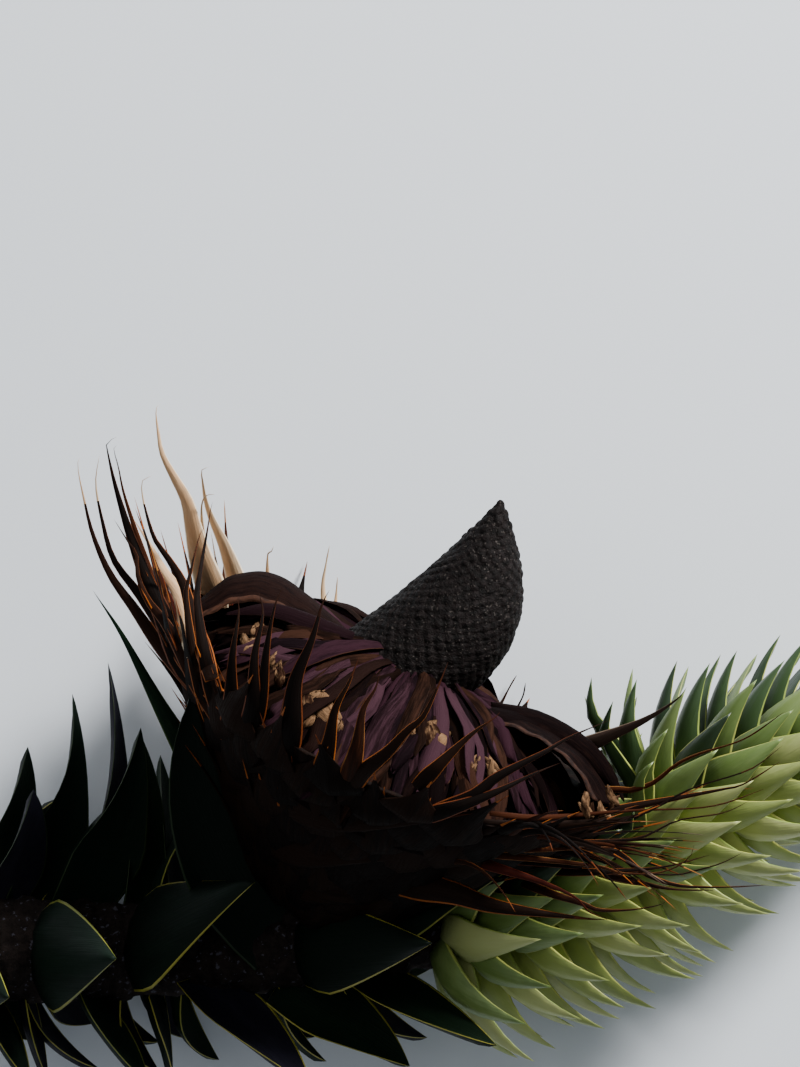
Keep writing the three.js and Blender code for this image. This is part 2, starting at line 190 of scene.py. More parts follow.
@dataclass
class Skin:
    """Closed shells, each a stack of rings, that become one mesh object."""

    points: list[Array] = field(default_factory=list)
    surface: list[Array] = field(default_factory=list)
    tones: list[Array] = field(default_factory=list)
    quads: list[Array] = field(default_factory=list)
    triangles: list[Array] = field(default_factory=list)
    quad_paint: list[Array] = field(default_factory=list)
    triangle_paint: list[Array] = field(default_factory=list)
    count: int = 0

    def add(
        self,
        rings: Array,
        paint: Array,
        surface: Array,
        tone: Array,
        ends: tuple[Array, Array] | None = None,
    ) -> None:
        """Adds a batch of shells with the same number of rings.

        Args:
            rings: Points, shells by rings by points round a ring by 3. A ring runs so that the outside
                is on its right seen from the first ring.
            paint: The material of each face, for shells by rings less one by points round, or one that
                stretches to that. With no ends the last ring joins the first, so it has one row more.
            surface: Where each point lies on its surface in millimetres, across and along.
            tone: A shade number from -1 to 1 for each shell.
            ends: The point that closes each shell before its first ring and the one after its last.
        """
        shells, stack, around = rings.shape[:3]
        index = self.count + np.arange(shells * stack * around).reshape(shells, stack, around)
        beside = np.roll(index, -1, axis=2)
        if ends is None:
            quads = np.stack((index, beside, np.roll(beside, -1, axis=1), np.roll(index, -1, axis=1)), -1)
        else:
            quads = np.stack((index[:, :-1], beside[:, :-1], beside[:, 1:], index[:, 1:]), -1)
        paint = np.broadcast_to(paint, quads.shape[:3])
        self.quads.append(quads.reshape(-1, 4))
        self.quad_paint.append(paint.reshape(-1))
        self._points(rings, surface, np.broadcast_to(tone[:, None, None], rings.shape[:3]))
        if ends is not None:
            first, last = (
                self._end_points(point, tone, surface[:, side]) for side, point in zip((0, -1), ends)
            )
            self._fan(beside[:, 0], index[:, 0], first, paint[:, 0])
            self._fan(index[:, -1], beside[:, -1], last, paint[:, -1])

    def _points(self, points: Array, surface: Array, tone: Array) -> None:
        """Keeps points.

        Args:
            points: The points, 3 numbers each.
            surface: Their places on the surface, or one that stretches to them.
            tone: Their tones.
        """
        self.points.append(points.reshape(-1, 3))
        self.surface.append(np.broadcast_to(surface, points.shape[:-1] + (2,)).reshape(-1, 2))
        self.tones.append(tone.reshape(-1))
        self.count += points.reshape(-1, 3).shape[0]

    def _end_points(self, points: Array, tone: Array, ring_surface: Array) -> Array:
        """Keeps the closing points of one end.

        Args:
            points: One point for each shell.
            tone: One tone for each shell.
            ring_surface: The surface places of the ring beside the end.

        Returns:
            The index of each closing point.
        """
        index = self.count + np.arange(len(points))
        self._points(points, ring_surface.mean(axis=-2), tone)
        return index

    def _fan(self, one: Array, other: Array, centre: Array, paint: Array) -> None:
        """Keeps the triangles that close an end.

        Args:
            one: The index of each point round the ring, for each shell.
            other: The index of the point beside it.
            centre: The index of each shell's closing point.
            paint: The material of each triangle.
        """
        centre = np.broadcast_to(centre[:, None], one.shape)
        self.triangles.append(np.stack((one, other, centre), -1).reshape(-1, 3))
        self.triangle_paint.append(paint.reshape(-1))

    def make(self, name: str, materials: Sequence[bpy.types.Material]) -> bpy.types.Object:
        """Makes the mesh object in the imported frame.

        Args:
            name: The piece's name.
            materials: The materials that the paint numbers point at.

        Returns:
            The new object, linked to the scene.
        """
        points = (np.concatenate(self.points) - DRAWN_ORIGIN) * MM
        points[:, 2] = np.maximum(points[:, 2], 0)
        quads = np.concatenate(self.quads)
        triangles = np.concatenate(self.triangles) if self.triangles else np.zeros((0, 3), int)
        corners = np.concatenate((quads.ravel(), triangles.ravel()))
        starts = np.concatenate((4 * np.arange(len(quads)), 4 * len(quads) + 3 * np.arange(len(triangles))))
        mesh = bpy.data.meshes.new(name)
        mesh.vertices.add(len(points))
        mesh.vertices.foreach_set("co", points.ravel())
        mesh.loops.add(len(corners))
        mesh.loops.foreach_set("vertex_index", corners)
        mesh.polygons.add(len(starts))
        mesh.polygons.foreach_set("loop_start", starts)
        mesh.polygons.foreach_set("material_index", np.concatenate(self.quad_paint + self.triangle_paint))
        mesh.polygons.foreach_set("use_smooth", np.ones(len(starts), bool))
        surface = mesh.uv_layers.new(name="surface")
        surface.data.foreach_set("uv", np.concatenate(self.surface)[corners].ravel())
        tone = mesh.attributes.new("tone", "FLOAT", "POINT")
        tone.data.foreach_set("value", np.concatenate(self.tones))
        for material in materials:
            mesh.materials.append(material)
        mesh.update(calc_edges=True)
        mesh.validate()
        made = bpy.data.objects.new(name, mesh)
        bpy.context.scene.collection.objects.link(made)
        return made


@dataclass(frozen=True)
class BladeShape:
    """How a leaf, a scale or a bract is cut, from its foot at 0 to its tip at 1.

    Attributes:
        foot: The width at the foot, as a share of the widest.
        widest: Where along the blade it is widest.
        taper: The power that it narrows with past that.
        drawn: How far the tip is drawn out, from 0 to 1.
        curl: The half angle of the arc across the blade, in radians.
        thickness: The thickness of the middle, in millimetres.
        margin: The width of the margin, as a share of the half width.
        awn: The half width of the spine at the tip, in millimetres.
        spine_from: Where along the blade the spine begins.
        ragged: How far the tip is torn, in millimetres.
        rings: Rings along the blade.
        strips: Faces across it.
    """

    foot: float = 0.75
    widest: float = 0.3
    taper: float = 1.6
    drawn: float = 0.0
    curl: float = 0.5
    thickness: float = 1.2
    margin: float = 0.14
    awn: float = 0.35
    spine_from: float = 0.92
    ragged: float = 0.0
    rings: int = 13
    strips: int = 6

    def shares(self) -> Array:
        """Where the rings and the tip stand along the blade, closer together towards the tip."""
        return 1 - (1 - np.linspace(0, 1, self.rings + 1)) ** 1.25

    def section(self) -> tuple[Array, Array]:
        """The points round a cross-section.

        Returns:
            Their places from edge to edge, -1 to 1, and 1 for those on the under side or else 0.
        """
        inner = np.linspace(-1, 1, self.strips - 1) * (1 - self.margin)
        over = np.concatenate(((-1,), inner, (1,)))
        under = over[-2:0:-1]
        return np.concatenate((over, under)), np.concatenate((np.zeros(len(over)), np.ones(len(under))))

    def outline(self, shares: Array, drawn: Array | float) -> Array:
        """Half the width along the blade, as a share of the widest.

        Formula: from the foot it grows as a quarter sine to 1 where the blade is widest. Past that, with p
        from 0 to 1, it is (1 - d)(1 - p^taper) + d(1 - p)^2.6, where d is how far the tip is drawn out.

        Args:
            shares: Shares of the length.
            drawn: How far the tip is drawn out, from 0 to 1.

        Returns:
            The half widths.
        """
        grown = lerp(self.foot, 1, np.sin(np.pi / 2 * np.minimum(shares / self.widest, 1)))
        past = np.clip((shares - self.widest) / (1 - self.widest), 0, 1)
        return grown * ((1 - drawn) * (1 - past**self.taper) + drawn * (1 - past) ** 2.6)

    def rings_along(
        self,
        paths: Array,
        facing: Array,
        widths: Array,
        drawn: Array | float | None = None,
        twist: Array | float = 0.0,
    ) -> tuple[Array, Array]:
        """Rings of blades that run along paths.

        Formula: a section is an arc of half angle c. A point at u from edge to edge lies sin(cu)/c across
        and (cos(cu) - cos(c))/c over, in half widths. The under side is set in by the thickness, at most
        1.2 half widths, times 1 - |u|^2.5. From where the spine begins the half width is at least that of
        the awn, times the 0.7th power of what is left. The last 0.3 of a ragged blade is torn.

        Args:
            paths: Points of each blade's middle line at shares(), n by rings plus one by 3.
            facing: The way that the arched side looks, n by 3.
            widths: The widest width of each blade.
            drawn: How far each tip is drawn out, if not the shape's own.
            twist: How far each blade turns from foot to tip, in radians.

        Returns:
            The rings, n by rings by points round by 3, and each point's surface place in millimetres.
        """
        shares = self.shares()
        across, under = self.section()
        drawn = self.drawn if drawn is None else drawn
        drawn, twist = (np.broadcast_to(each, (len(paths),))[:, None] for each in (drawn, twist))
        along = unit(np.gradient(paths, axis=1))
        side = unit(np.cross(along, np.broadcast_to(facing[:, None], along.shape)))
        over = np.cross(side, along)
        turned = twist * shares
        side, over = (
            side * np.cos(turned)[..., None] + over * np.sin(turned)[..., None],
            over * np.cos(turned)[..., None] - side * np.sin(turned)[..., None],
        )
        half = widths[:, None] / 2 * self.outline(shares[None], drawn)
        spine = self.awn * np.clip((1 - shares) / (1 - self.spine_from), 0, 1) ** 0.7
        half = np.maximum(half, spine[None])[:, :-1, None]
        angle = self.curl * across
        thick = np.minimum(self.thickness, 1.2 * half) * (1 - np.abs(across) ** 2.5) * under
        sideways = half * np.sin(angle) / self.curl - thick * np.sin(angle)
        upward = half * (np.cos(angle) - np.cos(self.curl)) / self.curl - thick * np.cos(angle)
        rings = paths[:, :-1, None] + side[:, :-1, None] * sideways[..., None]
        rings = rings + over[:, :-1, None] * upward[..., None]
        if self.ragged:
            torn = self.ragged * uneven(np.arange(len(paths))[:, None] + 0.37 * np.arange(len(across))[None])
            late = np.clip((shares[:-1] - 0.7) / 0.3, 0, 1) ** 2
            rings = rings + along[:, -1, None, None] * (torn[:, None] * late[None, :, None])[..., None]
        length = np.linalg.norm(np.diff(paths, axis=1), axis=-1).sum(axis=1)
        apart = PATTERN_GAP * np.arange(len(paths))[:, None, None]
        return rings, stacked(apart + half * across, length[:, None, None] * shares[None, :-1, None])

    def zones(self) -> Array:
        """The zone of each face.

        Returns:
            0 for the blade, 1 for its margin and 2 for its spine, for rings less one by points round.
        """
        strips = self.strips
        zone = np.zeros((self.rings - 1, 2 * strips), int)
        zone[:, [0, strips - 1, strips, 2 * strips - 1]] = 1
        zone[self.shares()[1:-1] > self.spine_from] = 2
        return zone


def add_blades(
    skin: Skin,
    shape: BladeShape,
    paths: Array,
    facing: Array,
    widths: Array,
    slots: Array,
    tone: Array,
    **bends: Array | float,
) -> None:
    """Adds a batch of blades to a skin.

    Args:
        skin: Where the blades go.
        shape: How they are cut.
        paths: Their middle lines at shape.shares().
        facing: The way their arched sides look.
        widths: Their widest widths.
        slots: The materials of each blade's zones, n by 3: blade, margin and spine.
        tone: A shade number for each blade.
        bends: Drawn and twist, as BladeShape.rings_along takes them.
    """
    paths = rested(paths)
    rings, surface = shape.rings_along(paths, facing, widths, **bends)
    paint = slots[np.arange(len(paths))[:, None, None], shape.zones()[None]]
    skin.add(rings, paint, surface, tone, (paths[:, 0], paths[:, -1]))


# Finishes


def linear(colour: str) -> tuple[float, float, float, float]:
    """The linear values of a colour.

    Args:
        colour: An sRGB colour in hex, with a hash before it.

    Returns:
        Red, green, blue and alpha.
    """
    parts = np.array([int(colour[k:k + 2], 16) for k in (1, 3, 5)]) / 255
    parts = np.where(parts <= 0.04045, parts / 12.92, ((parts + 0.055) / 1.055) ** 2.4)
    return (*map(float, parts), 1.0)


def add_node(
    tree: bpy.types.NodeTree,
    kind: str,
    inputs: dict | None = None,
    **settings: object,
) -> bpy.types.Node:
    """Adds a node with its settings and what goes into it.

    Args:
        tree: The material's node tree.
        kind: The node's type.
        inputs: Values, or the sockets of other nodes, by the name or the number of the input.
        settings: The node's own properties.

    Returns:
        The node.
    """
    node = tree.nodes.new(kind)
    for name, value in settings.items():
        setattr(node, name, value)
    for name, value in (inputs or {}).items():
        if isinstance(value, bpy.types.NodeSocket):
            tree.links.new(value, node.inputs[name])
        else:
            node.inputs[name].default_value = value
    return node


def blank_material(name: str) -> bpy.types.Material:
    """Makes a material with an empty node tree.

    Args:
        name: The material's name.

    Returns:
        The material.
    """
    made = bpy.data.materials.new(name)
    made.use_nodes = True
    made.node_tree.nodes.clear()
    return made


def mix(
    tree: bpy.types.NodeTree,
    share: bpy.types.NodeSocket,
    one: object,
    other: object,
) -> bpy.types.NodeSocket:
    """Mixes two colours.

    Args:
        tree: The material's node tree.
        share: How much of the other colour there is.
        one: A colour or a socket.
        other: A colour or a socket.

    Returns:
        The mixed colour.
    """
    return add_node(tree, "ShaderNodeMix", {"Factor": share, 6: one, 7: other}, data_type="RGBA").outputs[2]


def ranged(
    tree: bpy.types.NodeTree,
    value: bpy.types.NodeSocket,
    source: tuple[float, float],
    target: tuple[float, float] = (0.0, 1.0),
    **settings: object,
) -> bpy.types.NodeSocket:
    """Carries a value from one range to another.

    Args:
        tree: The material's node tree.
        value: The value.
        source: The range that it comes from.
        target: The range that it goes to.
        settings: The node's own properties.

    Returns:
        The new value.
    """
    inputs = {"Value": value, "From Min": source[0], "From Max": source[1],
              "To Min": target[0], "To Max": target[1]}
    return add_node(tree, "ShaderNodeMapRange", inputs, **settings).outputs[0]


def noise(
    tree: bpy.types.NodeTree,
    place: bpy.types.NodeSocket,
    size: Sequence[float],
    detail: float,
) -> bpy.types.NodeSocket:
    """Makes a noise.

    Args:
        tree: The material's node tree.
        place: Where each point lies.
        size: The size of its lumps along each direction, in the units of the place.
        detail: How many finer noises are added to it.

    Returns:
        The noise's value.
    """
    scale = tuple(1 / each for each in size)
    scaled = add_node(tree, "ShaderNodeMapping", {"Vector": place, "Scale": scale}, vector_type="POINT")
    inputs = {"Vector": scaled.outputs[0], "Scale": 1.0, "Detail": detail, "Roughness": 0.6}
    return add_node(tree, "ShaderNodeTexNoise", inputs).outputs["Fac"]


# The noise values between which one colour gives way to the other and the grain goes from low to high,
# and how soft a speck's edge is
PATCH_RANGE = (0.32, 0.68)
GRAIN_RANGE = (0.3, 0.7)
SPECK_EDGE = 0.04


class Follows(Enum):
    """What a pattern follows."""

    SURFACE = "UV"
    SPACE = "Object"


@dataclass(frozen=True)
class Finish:
    """A natural surface: two colours in patches, fine relief, and specks of a third where it has one.

    Attributes:
        name: What it is.
        colour: Its first colour.
        patch: Its second colour.
        patch_mm: The size of its patches along each direction.
        relief_mm: The size of its relief's lumps.
        relief_depth_mm: How deep its relief is.
        roughness: The least and the most roughness.
        follows: What its patterns follow.
        tone_share: How far a blade's tone shifts its colour.
        speck: The colour of its specks.
        speck_mm: Their size.
        speck_share: How much of it they cover.
        coat: The weight of its clear coat.
        specular: How strongly it reflects.
    """

    name: str
    colour: str
    patch: str
    patch_mm: tuple[float, float, float]
    relief_mm: tuple[float, float, float]
    relief_depth_mm: float
    roughness: tuple[float, float]
    follows: Follows = Follows.SURFACE
    tone_share: float = 0.3
    speck: str = ""
    speck_mm: float = 0.0
    speck_share: float = 0.0
    coat: float = 0.0
    specular: float = 0.5

    def material(self) -> bpy.types.Material:
        """Makes the material.

        Returns:
            A material whose patterns have their real size in millimetres.
        """
        made = blank_material(self.name)
        made.diffuse_color = linear(self.colour)
        tree = made.node_tree
        place = add_node(tree, "ShaderNodeTexCoord").outputs[self.follows.value]
        unit_mm = 1.0 if self.follows is Follows.SURFACE else MM
        patches = noise(tree, place, [size * unit_mm for size in self.patch_mm], detail=4.0)
        tone = add_node(tree, "ShaderNodeAttribute", attribute_name="tone").outputs["Fac"]
        share = add_node(tree, "ShaderNodeMath", {0: tone, 1: self.tone_share, 2: patches},
                         operation="MULTIPLY_ADD").outputs[0]
        share = ranged(tree, share, PATCH_RANGE, interpolation_type="SMOOTHSTEP")
        colour = mix(tree, share, linear(self.colour), linear(self.patch))
        if self.speck:
            spots = noise(tree, place, [self.speck_mm * unit_mm] * 3, detail=2.0)
            inside = ranged(tree, spots, (1 - self.speck_share, 1 + SPECK_EDGE - self.speck_share))
            colour = mix(tree, inside, colour, linear(self.speck))
        grain = noise(tree, place, [size * unit_mm for size in self.relief_mm], detail=3.0)
        rough = ranged(tree, grain, GRAIN_RANGE, self.roughness)
        relief = add_node(tree, "ShaderNodeBump", {
            "Height": grain, "Distance": self.relief_depth_mm * MM, "Strength": 1.0}).outputs[0]
        surface = add_node(tree, "ShaderNodeBsdfPrincipled", {
            "Base Color": colour, "Roughness": rough, "Normal": relief,
            "Specular IOR Level": self.specular, "Coat Weight": self.coat, "Coat Roughness": 0.3})
        add_node(tree, "ShaderNodeOutputMaterial", {"Surface": surface.outputs[0]})
        return made


# Young leaf cuticle, grown and waxed: smooth with a soft shine, fine lines along it and a pale bloom. Its
# shades run from fresh to deep, partly with age and partly as painted shade on the leaves at the top of the
# shoot
YOUNG_LEAF_PAINTED_SHADES = tuple(
    Finish(f"waxy leaf {shade}", colour, patch, (5, 16, 5), (0.5, 14, 1), 0.12, (0.36, 0.52), coat=0.08)
    for shade, colour, patch in (
        ("fresh", "#87944c", "#a3aa68"),
        ("mid", "#5f7538", "#768a4c"),
        ("deep", "#20341a", "#354c28"),
    )
)
# Margin of a young leaf: hard yellow gristle with a soft shine
YOUNG_MARGIN = Finish("leaf margin gristle", "#a8ac54", "#8e9f4a", (3, 8, 3), (1, 5, 1), 0.05, (0.35, 0.5))
# Spine at a young leaf's tip: dry and hard, brown and tan
YOUNG_SPINE = Finish("dry leaf spine", "#7d5a28", "#a08542", (1, 3, 1), (1, 3, 1), 0.05, (0.4, 0.6))
# Old leaf cuticle: leathery and dark green with a dull shine and fine lines along it, its colours darkened
# nearly black as painted shade
OLD_LEAF = tuple(
    Finish(f"leathery leaf {shade}", colour, patch, (7, 22, 7), (0.5, 16, 1), 0.14, (0.5, 0.65), specular=0.1)
    for shade, colour, patch in (
        ("dark", "#09130c", "#0f1d14"),
        ("green", "#0c1a0f", "#142416"),
        ("violet", "#13121a", "#1d1c26"),
    )
)
# Margin of an old leaf: a thin yellow line, partly its own colour and partly painted light where it catches
# the light
OLD_MARGIN_PAINTED_LIGHT = Finish("old leaf margin with painted light", "#99902a", "#6f7426", (3, 12, 3), (1, 5, 1), 0.05, (0.35, 0.5))
# The same margin as painted shade, dark green and dull, for the leaves that stand in the shade
OLD_MARGIN_PAINTED_SHADE = Finish("leaf margin in painted shade", "#1d2a16", "#2c3a1c", (3, 12, 3), (1, 5, 1), 0.05,
                           (0.4, 0.55), specular=0.3)
# Spine at an old leaf's tip: dry and hard, brown and tan
OLD_SPINE = Finish("old leaf spine", "#7a5424", "#a98a3e", (1, 3, 1), (1, 3, 1), 0.05, (0.4, 0.6))
# Bark of the branch: dry, scaly and cracked, with grey lichen in small patches, its brown darkened nearly
# black as painted shade
BARK = Finish("scaly bark", "#15100e", "#241d1a", (2.5, 2.5, 2.5), (0.7, 0.7, 0.7), 0.5, (0.8, 0.95),
              follows=Follows.SPACE, speck="#46444c", speck_mm=1.6, speck_share=0.37, specular=0.1)
# Core of the spent cone: woody and pitted, weathered nearly black, with small grey specks painted in as a
# faint gloss on its knobs
CORE = Finish("weathered cone core", "#090706", "#171110", (1.5, 1.5, 1.5), (0.6, 0.6, 0.6), 0.45, (0.5, 0.8),
              specular=0.1, follows=Follows.SPACE, speck="#3f3935", speck_mm=0.7, speck_share=0.37)
# Seed scales: dry tissue torn along its fibres, dusty purple, mauve and brown, and smooth dark skin
SCALE = tuple(
    Finish(name, colour, patch, (1.2, 9, 1.2), (0.35, 9, 0.5), 0.3, (0.7, 0.9), tone_share=0.35,
           specular=0.02)
    for name, colour, patch in (
        ("purple scale fibre", "#10080b", "#2a171e"),
        ("mauve scale fibre", "#180c0f", "#38232a"),
        ("smooth dark scale", "#0b0505", "#1b0f0c"),
        ("brown scale fibre", "#120906", "#301d15"),
    )
)
# Torn ends of the scales where seeds have broken off: fresh pale fibre in brown, in small patches
SCALE_TORN = Finish("pale torn fibre", "#22130c", "#7a5c42", (0.9, 2.2, 0.9), (0.35, 3, 0.5), 0.3,
                    (0.75, 0.9), tone_share=0.15, specular=0.02)
# Edge of a scale: thin dry skin, painted a little lighter than the rest as light shining through it and
# catching its rim
SCALE_EDGE_PAINTED_LIGHT = Finish("scale edge painted light", "#1c0f0b", "#42281c", (1, 4, 1), (0.5, 4, 1), 0.1, (0.6, 0.8), specular=0.1)


class ScaleSlot(IntEnum):
    """The materials of the disc of scales, in the order of its slots."""

    PURPLE = 0
    MAUVE = 1
    SMOOTH = 2
    BROWN = 3
    TORN = 4
    EDGE = 5


class BractTone(Enum):
    """The colours of dry bracts: of the face, and of the thin edge that is painted bright as a glow of light
    shining through it.
    """

    # Near-black brown: partly the bracts' own dark colour, partly painted shade on the front and underside of
    # the cup
    DARK = ("#0c0604", "#180c06", "#5c2a0c", "#8f4c17")
    RUST = ("#1f0e06", "#381a0b", "#6a3814", "#92602e")
    # Pale tan of dry bract tips, made lighter still as painted light shining through them
    PALE = ("#cba27a", "#dfbd96", "#e8d0ae", "#eed8bc")
    GREY = ("#261b16", "#40312a", "#4e3c30", "#6d5a4a")
    RED = ("#260c07", "#3c140c", "#541d0e", "#6e2a13")
    GREEN = ("#0c1a10", "#142616", "#2c3c16", "#3e4f1e")

    @property
    def slot(self) -> int:
        """The first of this tone's two materials."""
        return 2 * list(BractTone).index(self)

    def finishes(self) -> tuple[Finish, Finish]:
        """Dry bract skin.

        Returns:
            The face, papery and fibrous and split along its length, and its thin smoother edge, painted
            bright as a glow of light through it.
        """
        face, patch, edge, glow_patch = self.value
        name = self.name.lower()
        return (
            Finish(f"{name} bract skin", face, patch, (1.5, 10, 1.5), (0.4, 9, 0.5), 0.2, (0.6, 0.85),
                   specular=0.06),
            Finish(f"{name} bract edge painted glow", edge, glow_patch, (1, 5, 1), (0.5, 5, 1), 0.05, (0.5, 0.7),
                   specular=0.1),
        )


# Stem and leaves


@dataclass(frozen=True)
class Stem:
    """The branch's stem, level from its sawn end and then rising to the shoot's tip."""

    start: float = -115.0
    end: float = 121.0
    level: float = -104.25
    sawn_radius: float = 13.5
    tip_radius: float = 4.0
    bend_at: float = 9.0
    bend_length: float = 15.0
    rise: float = 0.56
    sink: float = 0.08
    leaf_rooting: float = 0.8
    rings: int = 430
    around: int = 110
    cushion_step: float = 2.6
    cushion: tuple[float, float, float] = (3.2, 5.6, 1.3)
    # Shares of the sawn end's radius where it has rings, the last so near the rim that this stays sharp
    sawn_rings: tuple[float, ...] = (0.3, 0.6, 0.9, 0.985)

    def centre(self, x: Array) -> Array:
        """Points of the axis.

        Formula: past the bend, with q = 15 log(1 + exp((x - 9) / 15)), it rises 0.56 q and sinks 0.08 q.

        Args:
            x: Places along the branch.

        Returns:
            The points.
        """
        past = self.bend_length * np.logaddexp(0, (x - self.bend_at) / self.bend_length)
        return np.stack((x, self.level + self.rise * past, -self.sink * past), -1)

    def radius(self, x: Array) -> Array:
        """The radius under the bark's relief."""
        return lerp(self.sawn_radius, self.tip_radius, (x - self.start) / (self.end - self.start))

    def around_at(self, x: Array, turn: Array) -> tuple[Array, Array, Array]:
        """Directions and places on the stem.

        Args:
            x: Places along the branch.
            turn: Degrees round it, 0 towards +y and 90 towards the viewer.

        Returns:
            The stem's direction, the way out of it, and the place where a leaf roots.
        """
        centre = self.centre(x)
        along = unit(self.centre(x + 0.5) - self.centre(x - 0.5))
        up = np.array((0.0, 1.0, 0.0))
        up = unit(up - along * (along @ up)[..., None])
        front = np.cross(along, up)
        angle = np.radians(turn)[..., None]
        outward = np.cos(angle) * up + np.sin(angle) * front
        return along, outward, centre + outward * (self.radius(x) * self.leaf_rooting)[..., None]

    def relief(self, x: Array, turn: Array) -> Array:
        """How far the bark stands out.

        Formula: each old leaf base is a cushion h sqrt(1 - (dx/a)² - (dw/b)²), with dx along and dw round
        the stem from its middle, and the highest counts. It is cracked by two low ripples of 0.16 mm, one
        mostly along the stem, 1.9 x + 2.5 sin(3 t + 0.21 x), and one round it, 11 t + 3 sin(0.37 x).

        Args:
            x: Places along the branch.
            turn: Degrees round it.

        Returns:
            Millimetres.
        """
        long, wide, high = self.cushion
        sites = np.arange(self.start + 1, self.end, self.cushion_step)
        best = np.zeros(np.broadcast(x, turn).shape)
        for number, site in enumerate(sites):
            around = turned_from(turn, number * GOLDEN_TURN)
            away = ((x - site) / long) ** 2 + (np.radians(around) * self.radius(x) / wide) ** 2
            best = np.maximum(best, np.sqrt(np.clip(1 - away, 0, 1)))
        ripple = np.sin(1.9 * x + 2.5 * np.sin(np.radians(3 * turn) + 0.21 * x))
        ripple = ripple + np.sin(np.radians(11 * turn) + 3 * np.sin(0.37 * x))
        return high * best + 0.16 * ripple

    def build(self) -> bpy.types.Object:
        """Makes the barked stem with its flat sawn end.

        Returns:
            The piece.
        """
        x = np.linspace(self.start, self.end, self.rings)
        turn = turns(self.around)
        _, outward, _ = self.around_at(*np.meshgrid(x, turn, indexing="ij"))
        radius = self.radius(x)[:, None] + self.relief(x[:, None], turn[None])
        bark = self.centre(x)[:, None] + outward * radius[..., None]
        bark[0, :, 0] = self.start
        sawn_centre = self.centre(x[0])
        sawn = sawn_centre + (bark[0] - sawn_centre) * np.array(self.sawn_rings)[:, None, None]
        rings = np.concatenate((sawn, bark))
        along = np.concatenate((np.full(len(sawn), self.start), x))
        paint = np.zeros((1, len(rings) - 1, 1), int)
        paint[:, :len(sawn)] = 1
        surface = stacked(turn * 0.2, along[:, None])
        skin = Skin()
        skin.add(rings[None], paint, surface[None], np.zeros(1), (sawn_centre[None], self.centre(x[-1:] + 2)))
        return skin.make("stem_bark", [BARK.material(), sawn_wood()])


def sawn_wood() -> bpy.types.Material:
    """Makes sawn softwood: pale yellow brown end grain with growth rings, matt from the saw.

    Returns:
        The material.
    """
    made = blank_material("sawn end grain")
    tree = made.node_tree
    centre = (Stem().centre(np.array(Stem().start)) - DRAWN_ORIGIN) * MM
    place = add_node(tree, "ShaderNodeTexCoord").outputs["Object"]
    place = add_node(tree, "ShaderNodeMapping", {"Vector": place, "Location": tuple(-centre)}).outputs[0]
    # Growth rings about 1.4 mm wide
    rings = add_node(tree, "ShaderNodeTexWave", {
        "Vector": place, "Scale": 224.0, "Distortion": 1.2, "Detail": 2.0, "Detail Scale": 1.5},
        wave_type="RINGS", rings_direction="X").outputs["Fac"]
    colour = mix(tree, rings, linear("#c4a273"), linear("#9c7448"))
    relief = add_node(tree, "ShaderNodeBump", {"Height": rings, "Distance": 0.15 * MM}).outputs[0]
    surface = add_node(tree, "ShaderNodeBsdfPrincipled", {
        "Base Color": colour, "Roughness": 0.8, "Normal": relief})
    add_node(tree, "ShaderNodeOutputMaterial", {"Surface": surface.outputs[0]})
    return made


